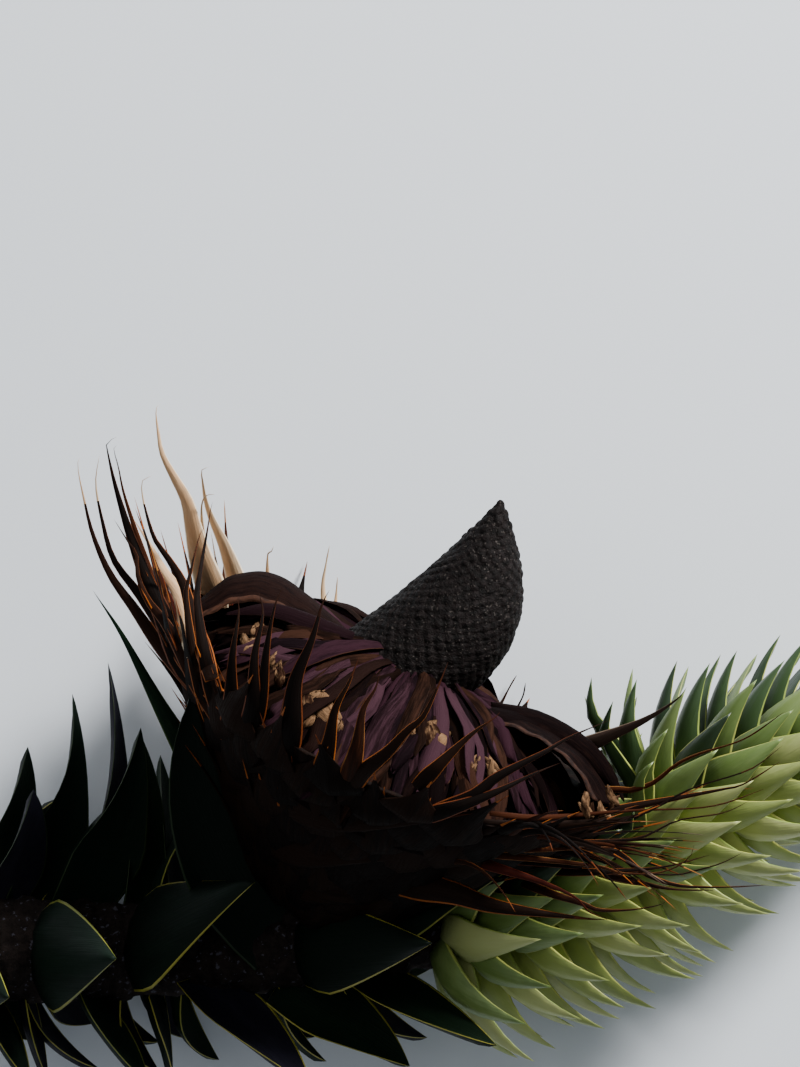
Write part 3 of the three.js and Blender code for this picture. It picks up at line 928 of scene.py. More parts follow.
@dataclass(frozen=True)
class ConeFrame:
    """Where the cone stands: its foot on the stem, leaning along the branch and tipped to the viewer."""

    foot: tuple[float, float, float] = (-23.5, -96.0, 0.0)
    lean: float = 24.1
    tilt: float = 15.0
    cup_foot: float = 10.0
    cup_spread: float = 0.88
    cup_rim: float = 60.0
    # Where lines of sight start, and how many places are looked at along them
    sight_top: float = 100.0
    sight_steps: int = 285

    def axes(self) -> Array:
        """The cone's own directions.

        Returns:
            Its right, its back and its axis, as rows.
        """
        lean, tilt = np.radians((self.lean, self.tilt))
        axis = np.array((np.sin(lean) * np.cos(tilt), np.cos(lean) * np.cos(tilt), np.sin(tilt)))
        right = np.array((np.cos(lean), -np.sin(lean), 0.0))
        return np.array((right, np.cross(axis, right), axis))

    def placed(self, local: Array) -> Array:
        """Points given by their right, back and height, in the drawing frame."""
        return local @ self.axes() + self.foot

    def at(self, turn: Array, radius: Array, height: Array) -> Array:
        """Points of the drawing frame.

        Args:
            turn: Degrees round the axis, 0 to the right, 90 back, 180 left and 270 towards the viewer.
            radius: The distance from the axis.
            height: The height above the foot.

        Returns:
            The points.
        """
        angle = np.radians(turn)
        return self.placed(stacked(radius * np.cos(angle), radius * np.sin(angle), height))

    def on_axis(self, *heights: float) -> tuple[Array, ...]:
        """A point on the axis at each height, to close a shell with."""
        return tuple(self.at(np.zeros(1), np.zeros(1), np.array((height,))) for height in heights)

    def seen(self, points: Array) -> tuple[Array, Array, Array]:
        """The turn, the radius and the height of points of the drawing frame."""
        right, back, height = np.moveaxis((points - self.foot) @ self.axes().T, -1, 0)
        return np.degrees(np.arctan2(back, right)) % 360, np.hypot(right, back), height

    def outward(self, turn: Array) -> Array:
        """Directions away from the axis."""
        return self.at(turn, 1.0, 0.0) - self.foot

    def cup_radius(self, height: Array) -> Array:
        """The radius of the cup of bracts at a height."""
        return self.cup_foot + self.cup_spread * np.clip(height, 0, self.cup_rim)

    def in_cup(self, turn: Array, radius: Array, height: Array) -> Array:
        """How far points are inside the cup, whatever their turn. It goes on as a cylinder above its rim."""
        return self.cup_radius(height) - radius

    def depth(
        self,
        line: Array,
        inside: Callable[[Array, Array, Array], Array],
        behind: bool = False,
    ) -> Array:
        """How deep a body round the cone is met along lines of sight.

        Args:
            line: Points across the view, n by 2.
            inside: From turns, radii and heights, how far points are inside the body.
            behind: Whether its far side is meant.

        Returns:
            The depth towards the viewer for each point, or the nearest pass where the body is missed.
        """
        z = np.linspace(REST_LEVEL + 1, self.sight_top, self.sight_steps)
        within = inside(*self.seen(stacked(line[:, :1], line[:, 1:], z)))
        hit = within > 0
        met = np.argmax(hit, axis=1) if behind else len(z) - 1 - np.argmax(hit[:, ::-1], axis=1)
        return z[np.where(hit.any(axis=1), met, np.argmax(within, axis=1))]

    def kept_out(self, paths: Array, room: float = 2.5, most: float = 12.0) -> tuple[Array, Array]:
        """Bends blades off the cup where they would run into it.

        The cup counts from 2 to 12 mm above its foot more and more, and less and less over 12 mm above its
        rim. The root of a blade stays where it is, and from 0.4 of its length on it moves the whole way.

        Args:
            paths: Middle lines, n by points by 3.
            room: Clear width outside the cup, in millimetres.
            most: The deepest run into the cup that bending can mend.

        Returns:
            The bent lines, and which of them can stay.
        """
        turn, radius, height = self.seen(paths)
        reach = np.clip((self.cup_rim + 12 - height) / 12, 0, 1) * np.clip((height - 2) / 10, 0, 1)
        short = np.maximum(self.cup_radius(height) + room - radius, 0) * reach
        share = ease(np.linspace(0, 1, paths.shape[1]) * 2.5)
        past_root = short[:, paths.shape[1] // 3:]
        return paths + self.outward(turn) * (short * share)[..., None], past_root.max(axis=1) < most


@dataclass(frozen=True)
class OldLeaves:
    """The dark leaves of the old stem: those seen are listed one by one, and more fill its back and sides."""

    stem: Stem
    cone: ConeFrame
    lance: BladeShape = BladeShape(foot=0.78, widest=0.33, taper=2.0, drawn=0.2, curl=-0.4, thickness=1.7,
                                   margin=0.06, awn=0.4, spine_from=0.965)
    broad: BladeShape = BladeShape(foot=0.8, widest=0.2, taper=1.35, drawn=0.05, curl=-0.35, thickness=1.7,
                                   margin=0.05, awn=0.4, spine_from=0.965)
    # Leaves on the far side: where they stand along the stem and round it, how far those right at its back
    # are shortened, and the typical value and how far it varies of the degrees that they stand out of it,
    # their length and their width
    fillers: int = 34
    filler_x: tuple[float, float] = (-110.0, -8.0)
    filler_turn: tuple[float, float] = (196.0, 148.0)
    filler_shortening: float = 0.3
    filler_lift: tuple[float, float] = (63.0, 12.0)
    filler_length: tuple[float, float] = (38.0, 4.0)
    filler_width: tuple[float, float] = (17.0, 2.0)
    filler_bow: float = 6.0
    filler_drawn: float = 0.2
    # The finishes of OLD_LEAF in the order that they are dealt in
    shades: tuple[int, ...] = (0, 1, 0, 0, 0, 2, 1, 2)
    # Root along the stem and turn round it, tip, width, bow along the stem, the way the blade faces, how
    # far the tip is drawn out, and how far the middle swells towards the viewer
    upright: tuple[tuple[float, ...], ...] = (
        (-106, -12, -93.3, -53.5, -8, 18, 4, 40, 0.3, 0),
        (-100, 8, -91.3, -63.8, 12, 18, 3, 40, 0.3, 0),
        (-94, -22, -82.3, -40.3, -14, 21, 6, 38, 0.75, 0),
        (-77, -40, -73.5, -32.5, -20, 18, 5, 30, 0.7, 0),
        (-81, 16, -64.5, -48.3, 14, 25, 4, 42, 0.6, 0),
        (-66, -18, -65, -51, -16, 16, 3, 30, 0.3, 0),
        (-54, -50, -60.5, -56, -30, 17, 1, 25, 0.2, 0),
        (-29, 82, -51.2, -39.8, 36, 26, -6.6, 76, 0.15, 4),
    )
    hanging: tuple[tuple[float, ...], ...] = (
        (-78, 158, -62.5, -137, 14, 19, 0, 22, 0.2, 0),
        (-50, 136, -22, -137, 28, 23, 1, 42, 0.2, 0),
        (-103, 160, -92, -137, 10, 18, 0, 20, 0.2, 0),
        (-93, 186, -88, -137, -6, 16, 0, 4, 0.2, 0),
        (-62, 196, -57, -136, -14, 17, 1, 6, 0.2, 0),
        (-30, 168, 2.5, -133, 8, 21, 2, 45, 0.2, 0),
        (-12, 138, 24, -127, 26, 20, 0, 40, 0.2, 0),
    )
    towards: tuple[tuple[float, ...], ...] = (
        (-66, 88, -35.7, -86.0, 40, 30, -1, 0, 0.05, 0),
        (-89, 96, -69.8, -104.8, 44, 29, 0, 0, 0.05, 0),
        (-112, 104, -96.3, -114.5, 42, 26, 1, 0, 0.05, 0),
        (-24, 92, 8, -101, 44, 24, 0, 0, 0.1, 0),
        (-3, 60, 28, -82, 36, 20, 0, 30, 0.2, 0),
    )

    def _set_by_eye(self, table: tuple[tuple[float, ...], ...]) -> tuple[Array, Array, Array, Array]:
        """Leaves that are seen.

        Args:
            table: Their rows.

        Returns:
            Their middle lines, facing directions, widths and how far their tips are drawn out.
        """
        x, turn, tip_x, tip_y, tip_z, width, bow, facing, drawn, swell = np.array(table, float).T
        along, _, root = self.stem.around_at(x, turn)
        tip = np.stack((tip_x, tip_y, tip_z), -1)
        middle = (root + tip) / 2 + along * 2 * bow[:, None] + TOWARDS_VIEWER * 2 * swell[:, None]
        angle = np.radians(facing)[:, None]
        normal = np.cos(angle) * along + np.sin(angle) * TOWARDS_VIEWER
        return bezier(np.stack((root, middle, tip), axis=1), self.lance.shares()), normal, width, drawn

    def _round_the_back(self) -> tuple[Array, Array, Array, Array]:
        """Leaves on the far side.

        Returns:
            The same as for those that are seen.
        """
        n = np.arange(self.fillers)
        x = lerp(*self.filler_x, (n + 0.5) / self.fillers)
        turn = self.filler_turn[0] + self.filler_turn[1] * ((n * GOLDEN_SHARES[0]) % 1)
        lift = np.radians(varied(*self.filler_lift, n))
        back = np.maximum(-np.cos(np.radians(turn)), 0)
        length = varied(*self.filler_length, n + 0.3) * (1 - self.filler_shortening * back**2)
        along, outward, root = self.stem.around_at(x, turn)
        step = along * np.cos(lift)[:, None] + outward * np.sin(lift)[:, None]
        normal = along * np.sin(lift)[:, None] - outward * np.cos(lift)[:, None]
        tip = root + step * length[:, None]
        middle = (root + tip) / 2 - normal * self.filler_bow
        lines = bezier(np.stack((root, middle, tip), axis=1), self.lance.shares())
        return lines, normal, varied(*self.filler_width, n + 0.6), np.full(self.fillers, self.filler_drawn)

    def build(self) -> bpy.types.Object:
        """Makes all old leaves.

        Returns:
            The piece.
        """
        skin = Skin()
        margin = len(OLD_LEAF)
        # Upright leaves get the margin in painted shade, all others the margin with painted light
        groups = (
            (self._set_by_eye(self.upright), self.lance, margin + 1),
            (self._set_by_eye(self.hanging), self.lance, margin),
            (self._set_by_eye(self.towards), self.broad, margin),
            (self._round_the_back(), self.lance, margin),
        )
        first = 0
        for (paths, normals, widths, drawn), shape, edge in groups:
            paths, stays = self.cone.kept_out(paths)
            n = first + np.arange(len(paths))[stays]
            first += len(paths)
            kind = dealt(self.shades, n, 5) * (shape is self.lance)
            slots = np.stack((kind, np.full(len(n), edge), np.full(len(n), margin + 2)), -1)
            add_blades(skin, shape, paths[stays], normals[stays], widths[stays], slots, uneven(n + 0.1),
                       twist=0.25 * uneven(n + 0.8), drawn=drawn[stays])
        finishes = (*OLD_LEAF, OLD_MARGIN_PAINTED_LIGHT, OLD_MARGIN_PAINTED_SHADE, OLD_SPINE)
        return skin.make("old_leaves", [finish.material() for finish in finishes])


@dataclass(frozen=True)
class ShootLeaves:
    """The young leaves that overlap in spirals round the shoot and close over its tip."""

    stem: Stem
    cone: ConeFrame
    shape: BladeShape = BladeShape(foot=0.85, widest=0.3, taper=1.5, drawn=0.3, curl=1.0, thickness=1.5,
                                   margin=0.09, awn=0.3, spine_from=0.95, rings=9, strips=4)
    count: int = 200
    bud: int = 24
    start: float = 8.0
    end: float = 121.0
    length: tuple[float, float] = (33.5, 23.3)
    width: tuple[float, float] = (17.0, 12.0)
    lift: tuple[float, float] = (57.0, 14.0)
    spread: tuple[float, float] = (17.0, 19.0)
    aside_length: tuple[float, float] = (3.0, 1.5)
    closing_from: float = 0.45
    bulge: tuple[float, float] = (3.0, 4.8)
    shown: float = 0.65
    # How far leaves differ in lift, length, width and twist, and what the last leaf of the bud is closed by
    # in degrees and shortened by
    differing: tuple[float, float, float, float] = (5.0, 2.0, 1.0, 0.12)
    bud_closing: float = 28.0
    bud_shrinking: float = 4.0
    # The shade of the young leaf finish, from 0: of the lowest leaf, more at the top as painted shade, less
    # at the tip, and how it varies
    tone_and_painted_shade: tuple[float, float, float, float] = (0.3, 2.6, 0.9, 0.6)

    def _leaf_lines(self) -> tuple[Array, Array, Array, Array]:
        """The leaves, older ones first.

        Returns:
            Their middle lines, facing directions, widths and ages, from 0 at the shoot's foot to 1.
        """
        n = np.arange(self.count + self.bud)
        age = np.minimum(n / self.count, 1.0)
        in_bud = np.maximum(n - self.count, 0) / self.bud
        closing = np.maximum(age - self.closing_from, 0) / (1 - self.closing_from)
        turn = n * GOLDEN_TURN
        below = (1 - np.cos(np.radians(turn))) / 2
        aside = np.cos(np.radians(turn)) ** 2 * (1 - closing)
        lift = varied(lerp(*self.lift, closing) + lerp(*self.spread, below) * aside, self.differing[0], n)
        lift = np.radians(lift - self.bud_closing * in_bud)
        length = lerp(*self.length, closing) + lerp(*self.aside_length, below) * aside
        length = varied(length, self.differing[1], n + 0.5) - self.bud_shrinking * in_bud
        along, outward, root = self.stem.around_at(lerp(self.start, self.end, age), turn)
        step = along * np.cos(lift)[:, None] + outward * np.sin(lift)[:, None]
        outer = outward * np.cos(lift)[:, None] - along * np.sin(lift)[:, None]
        tip = root + step * length[:, None]
        bulge = lerp(*self.bulge, below) * length / self.length[0]
        middle = (root + tip) / 2 + outer * 2 * bulge[:, None]
        width = varied(lerp(*self.width, age), self.differing[2], n + 0.2)
        facing = outer + TOWARDS_VIEWER * (self.shown * aside)[:, None]
        return bezier(np.stack((root, middle, tip), axis=1), self.shape.shares()), facing, width, age

    def build(self) -> bpy.types.Object:
        """Makes the shoot's leaves.

        Returns:
            The piece.
        """
        paths, facing, width, age = self._leaf_lines()
        paths, stays = self.cone.kept_out(paths)
        n = np.arange(len(paths))[stays]
        # Leaves on top of the shoot are dealt darker shades as painted shade
        top_in_painted_shade = (1 + np.cos(np.radians(n * GOLDEN_TURN))) / 2
        lowest, top, tip, most = self.tone_and_painted_shade
        margin = len(YOUNG_LEAF_PAINTED_SHADES)
        kind = np.floor(varied(lowest + top * top_in_painted_shade - tip * age[stays], most, n + 0.9))
        kind = np.clip(kind, 0, margin - 1).astype(int)
        slots = np.stack((kind, np.full(len(n), margin), np.full(len(n), margin + 1)), -1)
        skin = Skin()
        add_blades(skin, self.shape, paths[stays], facing[stays], width[stays], slots, uneven(n + 0.7),
                   twist=self.differing[3] * uneven(n + 0.4))
        materials = [finish.material() for finish in (*YOUNG_LEAF_PAINTED_SHADES, YOUNG_MARGIN, YOUNG_SPINE)]
        return skin.make("shoot_leaves", materials)


# The cone


@dataclass(frozen=True)
class Stalk:
    """The thick stalk that carries the cone, covered with the scars of bracts."""

    cone: ConeFrame
    bottom: float = -2.0
    top: float = 32.0
    foot_radius: float = 9.0
    head_radius: float = 13.0
    scar_height: float = 1.2
    rings: int = 60
    around: int = 90

    def build(self) -> bpy.types.Object:
        """Makes the stalk.

        Formula: the scars stand out as |sin(4 t + h / 2) sin(4 t - h / 2)|, with t round it and h up it.

        Returns:
            The piece.
        """
        height = np.linspace(self.bottom, self.top, self.rings)[:, None]
        turn = turns(self.around)[None]
        around = np.radians(4 * turn)
        scars = np.abs(np.sin(around + height * 0.5) * np.sin(around - height * 0.5))
        radius = lerp(self.foot_radius, self.head_radius, (height - self.bottom) / (self.top - self.bottom))
        rings = self.cone.at(turn, radius + self.scar_height * scars, height)
        skin = Skin()
        skin.add(rings[None], np.zeros((1, 1, 1), int), stacked(turn * 0.2, height)[None], np.zeros(1),
                 self.cone.on_axis(self.bottom, self.top))
        return skin.make("cone_stalk_bark", [BARK.material()])


@dataclass(frozen=True)
class ConeCore:
    """The woody core that is left when the seeds have fallen, covered with small knobs."""

    cone: ConeFrame
    bottom: float = 32.3
    top: float = 119.0
    foot_radius: float = 12.0
    radius: float = 17.0
    flatness: float = 0.9
    widest: float = 0.45
    taper: float = 1.9
    bow: float = 5.0
    bow_at: float = 0.78
    bowing: float = 70.0
    knob_gap: float = 2.05
    knob_radius: float = 1.2
    knob_height: float = 0.42
    knob_difference: float = 0.55
    rings: int = 230
    around: int = 190

    def surface(self, share: Array, turn: Array) -> Array:
        """Points of the smooth core.

        Formula: the middle stands b - 70 (s - 0.78)² aside of the axis, where s is the share of the height,
        or 0.45 below that. The radius grows as a quarter sine to 17 and past 0.45 shrinks as 1 - p^1.9.

        Args:
            share: The share of the height.
            turn: Degrees round the axis.

        Returns:
            Points in the cone's own frame.
        """
        aside = self.bow - self.bowing * (np.maximum(share, self.widest) - self.bow_at) ** 2
        grown = np.sin(np.pi / 2 * np.minimum(share / self.widest, 1))
        past = np.clip((share - self.widest) / (1 - self.widest), 0, 1)
        radius = lerp(self.foot_radius, self.radius, grown) * (1 - past**self.taper)
        angle = np.radians(turn)
        return stacked(aside + radius * np.cos(angle), radius * np.sin(angle) * self.flatness,
                       lerp(self.bottom, self.top, share))

    def knob_sites(self) -> Array:
        """Places of the knobs.

        Returns:
            Points in the cone's own frame, on a golden spiral with the same area for each.
        """
        share = np.linspace(0, 1, 400)
        rim = self.surface(share[:, None], np.linspace(0, 360, 60)[None])
        girth = np.linalg.norm(np.diff(rim, axis=1), axis=-1).sum(axis=1)
        bands = (girth[1:] + girth[:-1]) / 2 * np.diff(share) * (self.top - self.bottom)
        area = np.concatenate(((0,), np.cumsum(bands)))
        count = int(area[-1] / self.knob_gap**2)
        n = np.arange(count)
        return self.surface(np.interp((n + 0.5) / count * area[-1], area, share), n * GOLDEN_TURN)

    def build(self) -> bpy.types.Object:
        """Makes the knobbed core.

        Returns:
            The piece.
        """
        share = np.linspace(0, 1, self.rings + 1)[:-1, None]
        turn = turns(self.around)[None]
        smooth = self.surface(share, turn)
        round_step = np.roll(smooth, -1, axis=1) - np.roll(smooth, 1, axis=1)
        normal = unit(np.cross(round_step, np.gradient(smooth, axis=0)))
        sites = self.knob_sites()
        size = varied(1, self.knob_difference, np.arange(len(sites)))
        knobs = np.stack([self._knobs(ring, sites, size) for ring in smooth])
        rings = self.cone.placed(smooth + normal * knobs[..., None])
        surface = stacked(turn * 0.25, share * (self.top - self.bottom))
        tip = self.cone.placed(self.surface(np.ones(1), np.zeros(1)))
        skin = Skin()
        skin.add(rings[None], np.zeros((1, 1, 1), int), surface[None], np.zeros(1),
                 (*self.cone.on_axis(self.bottom), tip))
        return skin.make("cone_core_knobs", [CORE.material()])

    def _knobs(self, points: Array, sites: Array, size: Array) -> Array:
        """How far the knobs stand out at points of the smooth core.

        Formula: h sqrt(1 - d²/r²), where d is the distance to the nearest site.

        Args:
            points: The points.
            sites: The places of the knobs.
            size: Each knob's height, as a share of the typical.

        Returns:
            Millimetres.
        """
        away = ((points[:, None] - sites[None]) ** 2).sum(axis=-1) / self.knob_radius**2
        nearest = away.argmin(axis=1)
        height = np.sqrt(np.clip(1 - away[np.arange(len(points)), nearest], 0, 1))
        return self.knob_height * size[nearest] * height


@dataclass(frozen=True)
class SeedScales:
    """The disc of dry scales round the core's foot: torn strips, folded sheets and pale torn ends."""

    cone: ConeFrame
    strip: BladeShape = BladeShape(foot=0.45, widest=0.6, taper=3.6, curl=1.4, thickness=0.6, margin=0.1,
                                   awn=0.4, spine_from=0.97, ragged=2.8, rings=9, strips=4)
    sheet: BladeShape = BladeShape(foot=0.5, widest=0.4, taper=2.6, curl=0.8, thickness=0.8, margin=0.08,
                                   awn=0.6, spine_from=0.98, ragged=1.4)
    flake: BladeShape = BladeShape(foot=0.4, widest=0.5, taper=3.0, curl=0.9, thickness=0.5, margin=0.1,
                                   awn=0.5, spine_from=0.98, ragged=1.8, rings=7, strips=4)
    strips: int = 210
    inner: float = 13.0
    outer: float = 52.0
    crown: float = 72.0
    # How far its top falls from the core to its rim: all round, and more at the front, to the right, at the
    # back and between those two, and a hump on its left: its height, its radius and its half width
    falls: tuple[float, float, float, float, float] = (9.0, 16.0, 4.0, 10.0, 48.0)
    hump: tuple[float, float, float] = (4.0, 39.0, 13.0)
    # The bed under the strips: how deep its top and its under side lie, and where these two end on the axis
    bed_depths: tuple[float, float] = (3.0, 12.0)
    bed_ends: tuple[float, float] = (58.0, 68.5)
    # The strips of the three layers: where they end, how high they lie, and their finishes in turn
    ends_at: tuple[float, float, float] = (42.0, 48.0, 53.0)
    lies_at: tuple[float, float, float] = (1.4, 0.4, -0.8)
    mix: tuple[ScaleSlot, ...] = (
        ScaleSlot.PURPLE, ScaleSlot.BROWN, ScaleSlot.MAUVE, ScaleSlot.PURPLE, ScaleSlot.SMOOTH,
        ScaleSlot.MAUVE, ScaleSlot.BROWN, ScaleSlot.PURPLE, ScaleSlot.SMOOTH)
    # The middles of the great folded sheets round the cone, and how low strips lie under them
    plates_at: tuple[float, float] = (172.0, 8.0)
    under_depth: float = 4.5
    # Lines across the view, each with a width and the height of its sheet over the disc
    sheets: tuple[tuple[float, float, tuple[tuple[float, float], ...]], ...] = (
        (9.0, 1.6, ((18, -45), (30, -48.5), (41, -54), (48, -61), (51.5, -67))),
        (7.0, 1.0, ((14, -47), (27, -51.5), (36, -57), (41, -64), (43, -69.5))),
        (5.0, 1.5, ((11, -49), (23, -54), (31, -59.5), (35, -66), (36, -71))),
        (7.0, 1.8, ((22, -44.5), (33, -47.5), (43.5, -53.5), (50, -60), (55, -68.5))),
        (6.0, 1.5, ((-14, -27), (-24, -23.5), (-34, -20.5), (-44, -21))),
        (6.0, 4.0, ((-13, -29), (-24, -25.5), (-34, -22.5), (-45, -23.5))),
        (5.0, 1.0, ((-15, -30), (-25, -28), (-35, -25), (-46, -25.5))),
        (5.0, 1.5, ((-16, -34), (-27, -33), (-38, -30), (-47, -31))),
    )
    # The places of torn ends: a middle across the view, a width, a length and how far before the disc it lies
    torn: tuple[tuple[float, float, float, float, float], ...] = (
        (-30.2, -35.5, 3.2, 7.0, 1.5), (-20.2, -43.0, 8.6, 10.5, 1.5), (7.8, -50.6, 6.2, 8.5, 1.5),
        (-23.4, -45.5, 4.6, 6.0, 2.2), (-15.4, -46.8, 3.6, 5.6, 1.5), (-31.4, -31.6, 3.0, 4.2, 1.5),
        (-38.0, -27.5, 3.0, 6.0, 1.5), (2.0, -48.0, 3.2, 6.0, 1.5), (22.5, -58.5, 2.8, 7.5, 3.0),
        (18.0, -57.5, 2.4, 6.0, 3.0), (46.2, -68.0, 3.0, 7.0, 22.0), (50.2, -69.4, 2.6, 6.0, 22.0),
        (52.6, -65.8, 2.6, 6.5, 18.0), (11.0, -50.0, 3.4, 6.0, 1.2), (-35.5, -24.5, 2.6, 4.0, 1.5),
    )
    # The great folded sheets: the far edge, the fold and the near edge of each, with depths
    folds: tuple[tuple[tuple[tuple[float, float, float], ...], ...], ...] = (
        (
            ((-48, -20, -2), (-38, -15, -8), (-28, -15.5, -10), (-15, -27, -6)),
            ((-49.5, -16.2, 16), (-42, -10.6, 14), (-32, -10.0, 12), (-22.5, -15.8, 12), (-11.5, -25.5, 12)),
            ((-50, -21.5, 27), (-40, -17.2, 26), (-30.5, -18.6, 26), (-22.4, -23.0, 25), (-15, -28.5, 24)),
        ),
        (
            ((16, -46, 0), (30, -50, -8), (42, -58, -10), (48, -68, -6)),
            ((15.5, -40.4, 14), (30.3, -44.8, 12), (39.7, -50.6, 13), (46.7, -56.5, 14), (51.4, -63.4, 16),
             (54.3, -68.5, 18)),
            ((14.5, -45.5, 28), (26, -47.6, 32), (36, -52, 34), (43.5, -58.5, 36), (47.5, -66, 36)),
        ),
    )

    def top(self, turn: Array, radius: Array) -> Array:
        """The height of the disc.

        Formula: crown - fall q^1.6, with q from 0 at the core to 1 at the rim, and on the left a hump
        h exp(-((r - m) / w)²) more. The fall grows as front^1.2, right², back² and right times back.

        Args:
            turn: Degrees round the axis.
            radius: The distance from the axis.

        Returns:
            Heights above the cone's foot.
        """
        across, back = np.cos(np.radians(turn)), np.sin(np.radians(turn))
        right = np.maximum(across, 0)
        all_round, at_front, at_right, at_back, between = self.falls
        fall = all_round + at_front * np.maximum(-back, 0) ** 1.2 + at_right * right**2
        fall = fall + at_back * np.maximum(back, 0) ** 2 + between * np.maximum(back, 0) * right
        height, middle, width = self.hump
        hump = height * np.maximum(-across, 0) ** 2 * np.exp(-(((radius - middle) / width) ** 2))
        reach = self.outer - self.inner - 1
        return self.crown - fall * (np.maximum(radius - self.inner - 1, 0) / reach) ** 1.6 + hump

    def under_plates(self, turn: Array) -> Array:
        """How far strips lie lower under the great folded sheets.

        Formula: d exp(-(a / 32)^4), where a is the angle from the nearer sheet's middle.

        Args:
            turn: Degrees round the axis.

        Returns:
            Millimetres.
        """
        away = [np.abs(turned_from(turn, middle)) for middle in self.plates_at]
        return self.under_depth * np.exp(-((np.minimum(*away) / 32) ** 4))

    def in_disc(self, turn: Array, radius: Array, height: Array) -> Array:
        """How far points are inside the disc."""
        return np.minimum(self.top(turn, radius) - height, self.outer - radius)

    def _bed(self, skin: Skin) -> None:
        """Adds the dark pleated bed under the strips, a closed disc.

        Formula: its ridges are 0.7 sin(64 t + 0.15 r), lower within a radius of 30, + 0.6 sin(23 t - 0.3 r).

        Args:
            skin: Where it goes.
        """
        turn = turns(240)[None]
        top_radius = np.linspace(self.outer - 2, 6, 26)[:, None]
        ridge = 0.7 * np.sin(np.radians(64 * turn) + 0.15 * top_radius) * np.clip(top_radius / 30, 0, 1)
        ridge = ridge + 0.6 * np.sin(np.radians(23 * turn) - 0.3 * top_radius)
        top = self.top(turn, top_radius) - self.bed_depths[0] + ridge
        low_radius = np.array((10, 30, self.outer - 4))[:, None]
        low = self.top(turn, low_radius) - self.bed_depths[1]
        radius = np.concatenate((low_radius, top_radius))
        rings = self.cone.at(turn, radius, np.concatenate((low, top)))
        skin.add(rings[None], np.full((1, 1, 1), ScaleSlot.SMOOTH), stacked(turn * 0.8, radius)[None],
                 np.array((-0.6,)), self.cone.on_axis(*self.bed_ends))

    def _strips(self, skin: Skin) -> None:
        """Adds torn strips that run out from the core in three layers.

        Formula: on its way out, with s from 0 to 1, a strip turns by 8 sway s² + 2.5 curve sin(9 s) degrees
        and waves up and down by 1.8 belly sin(pi s) + 1.6 flick s³, each with its own uneven numbers.

        Args:
            skin: Where they go.
        """
        n = np.arange(self.strips)
        turn = varied(n * GOLDEN_TURN, 4, n)
        layer = n % 3
        first = varied(self.inner + 0.5 + 4 * layer, 2, n + 0.1)
        last = varied(np.array(self.ends_at)[layer], 4.5, n + 0.2)
        s = self.strip.shares()[None]
        radius = lerp(first[:, None], last[:, None], s)
        sway, curve, high, belly, flick = (uneven(n + k)[:, None] for k in (0.3, 0.4, 0.5, 0.6, 0.7))
        bent = turn[:, None] + 8 * sway * s**2 + 2.5 * curve * np.sin(9 * s)
        lifted = np.array(self.lies_at)[layer][:, None] + 1.2 * high - self.under_plates(bent)
        wave = 1.8 * belly * np.sin(np.pi * s) + 1.6 * np.maximum(flick, 0) * s**3
        paths = self.cone.at(bent, radius, self.top(bent, radius) + lifted + wave)
        around = self.cone.outward(turn + 90)
        facing = self.cone.axes()[2] + 0.35 * self.cone.outward(turn)
        facing = facing + 0.7 * uneven(n + 0.8)[:, None] * around
        kind = dealt(self.mix, n, 5)
        # Strips of the highest layer get lighter margins and all strips lighter spines: painted light
        slots = stacked(kind, np.where(layer > 0, kind, ScaleSlot.EDGE), np.full(len(n), ScaleSlot.EDGE))
        width = varied(5.4, 2.6, n + 0.9) + layer
        add_blades(skin, self.strip, paths, facing, width, slots, uneven(n + 0.15),
                   twist=0.6 * uneven(n + 0.25))

    def _sheets(self, skin: Skin) -> None:
        """Adds the curved sheets that are seen on both sides of the core, four on each.

        Args:
            skin: Where they go.
        """
        s = self.sheet.shares()
        for number, (width, over, line) in enumerate(self.sheets):
            flat = curve_through(np.array(line, float), s)
            depth = smoothed(s, self.cone.depth(flat, self.in_disc))
            path = np.concatenate((flat, depth[:, None]), axis=1) + over * self.cone.axes()[2]
            kind = ScaleSlot.SMOOTH if number < 4 else (ScaleSlot.BROWN, ScaleSlot.MAUVE)[number % 2]
            # Sheet margins are painted lighter as light on their edges
            slots = np.array(((kind, ScaleSlot.EDGE, ScaleSlot.TORN),))
            add_blades(skin, self.sheet, path[None], np.array(((0.0, 0.7, 0.7),)), np.array((width,)), slots,
                       uneven(np.array((number + 0.35,))))

    def _torn_ends(self, skin: Skin) -> None:
        """Adds the pale torn ends where seeds have broken off, four crossing flakes at each place.

        Each flake is moved by up to 0.3 of the place's width and 0.25 of its length, slants by up to 0.9
        radians, is 0.76 of the length long, and stands 1.5 mm nearer in its middle than at its ends.

        Args:
            skin: Where they go.
        """
        x, y, width, length, before = np.repeat(np.array(self.torn), 4, axis=0).T
        n = np.arange(len(x))
        middle = stacked(varied(x, 0.3 * width, n + 0.65), varied(y, 0.25 * length, n + 0.75))
        depth = varied(self.cone.depth(middle, self.in_disc) + before, 0.6, n + 0.85)
        slant = 0.9 * uneven(n + 0.95)
        away = np.stack((np.sin(slant), np.cos(slant)), -1) * (0.38 * length)[:, None]
        controls = np.stack([np.concatenate((middle + k * away, depth[:, None] + 1.5 * (k == 0)), axis=1)
                             for k in (-1, 0, 1)], axis=1)
        slots = np.full((len(n), 3), ScaleSlot.TORN)
        facing = np.tile(TOWARDS_VIEWER, (len(n), 1))
        add_blades(skin, self.flake, bezier(controls, self.flake.shares()), facing, 0.85 * width, slots,
                   uneven(n + 0.45), twist=1.2 * uneven(n + 0.55))

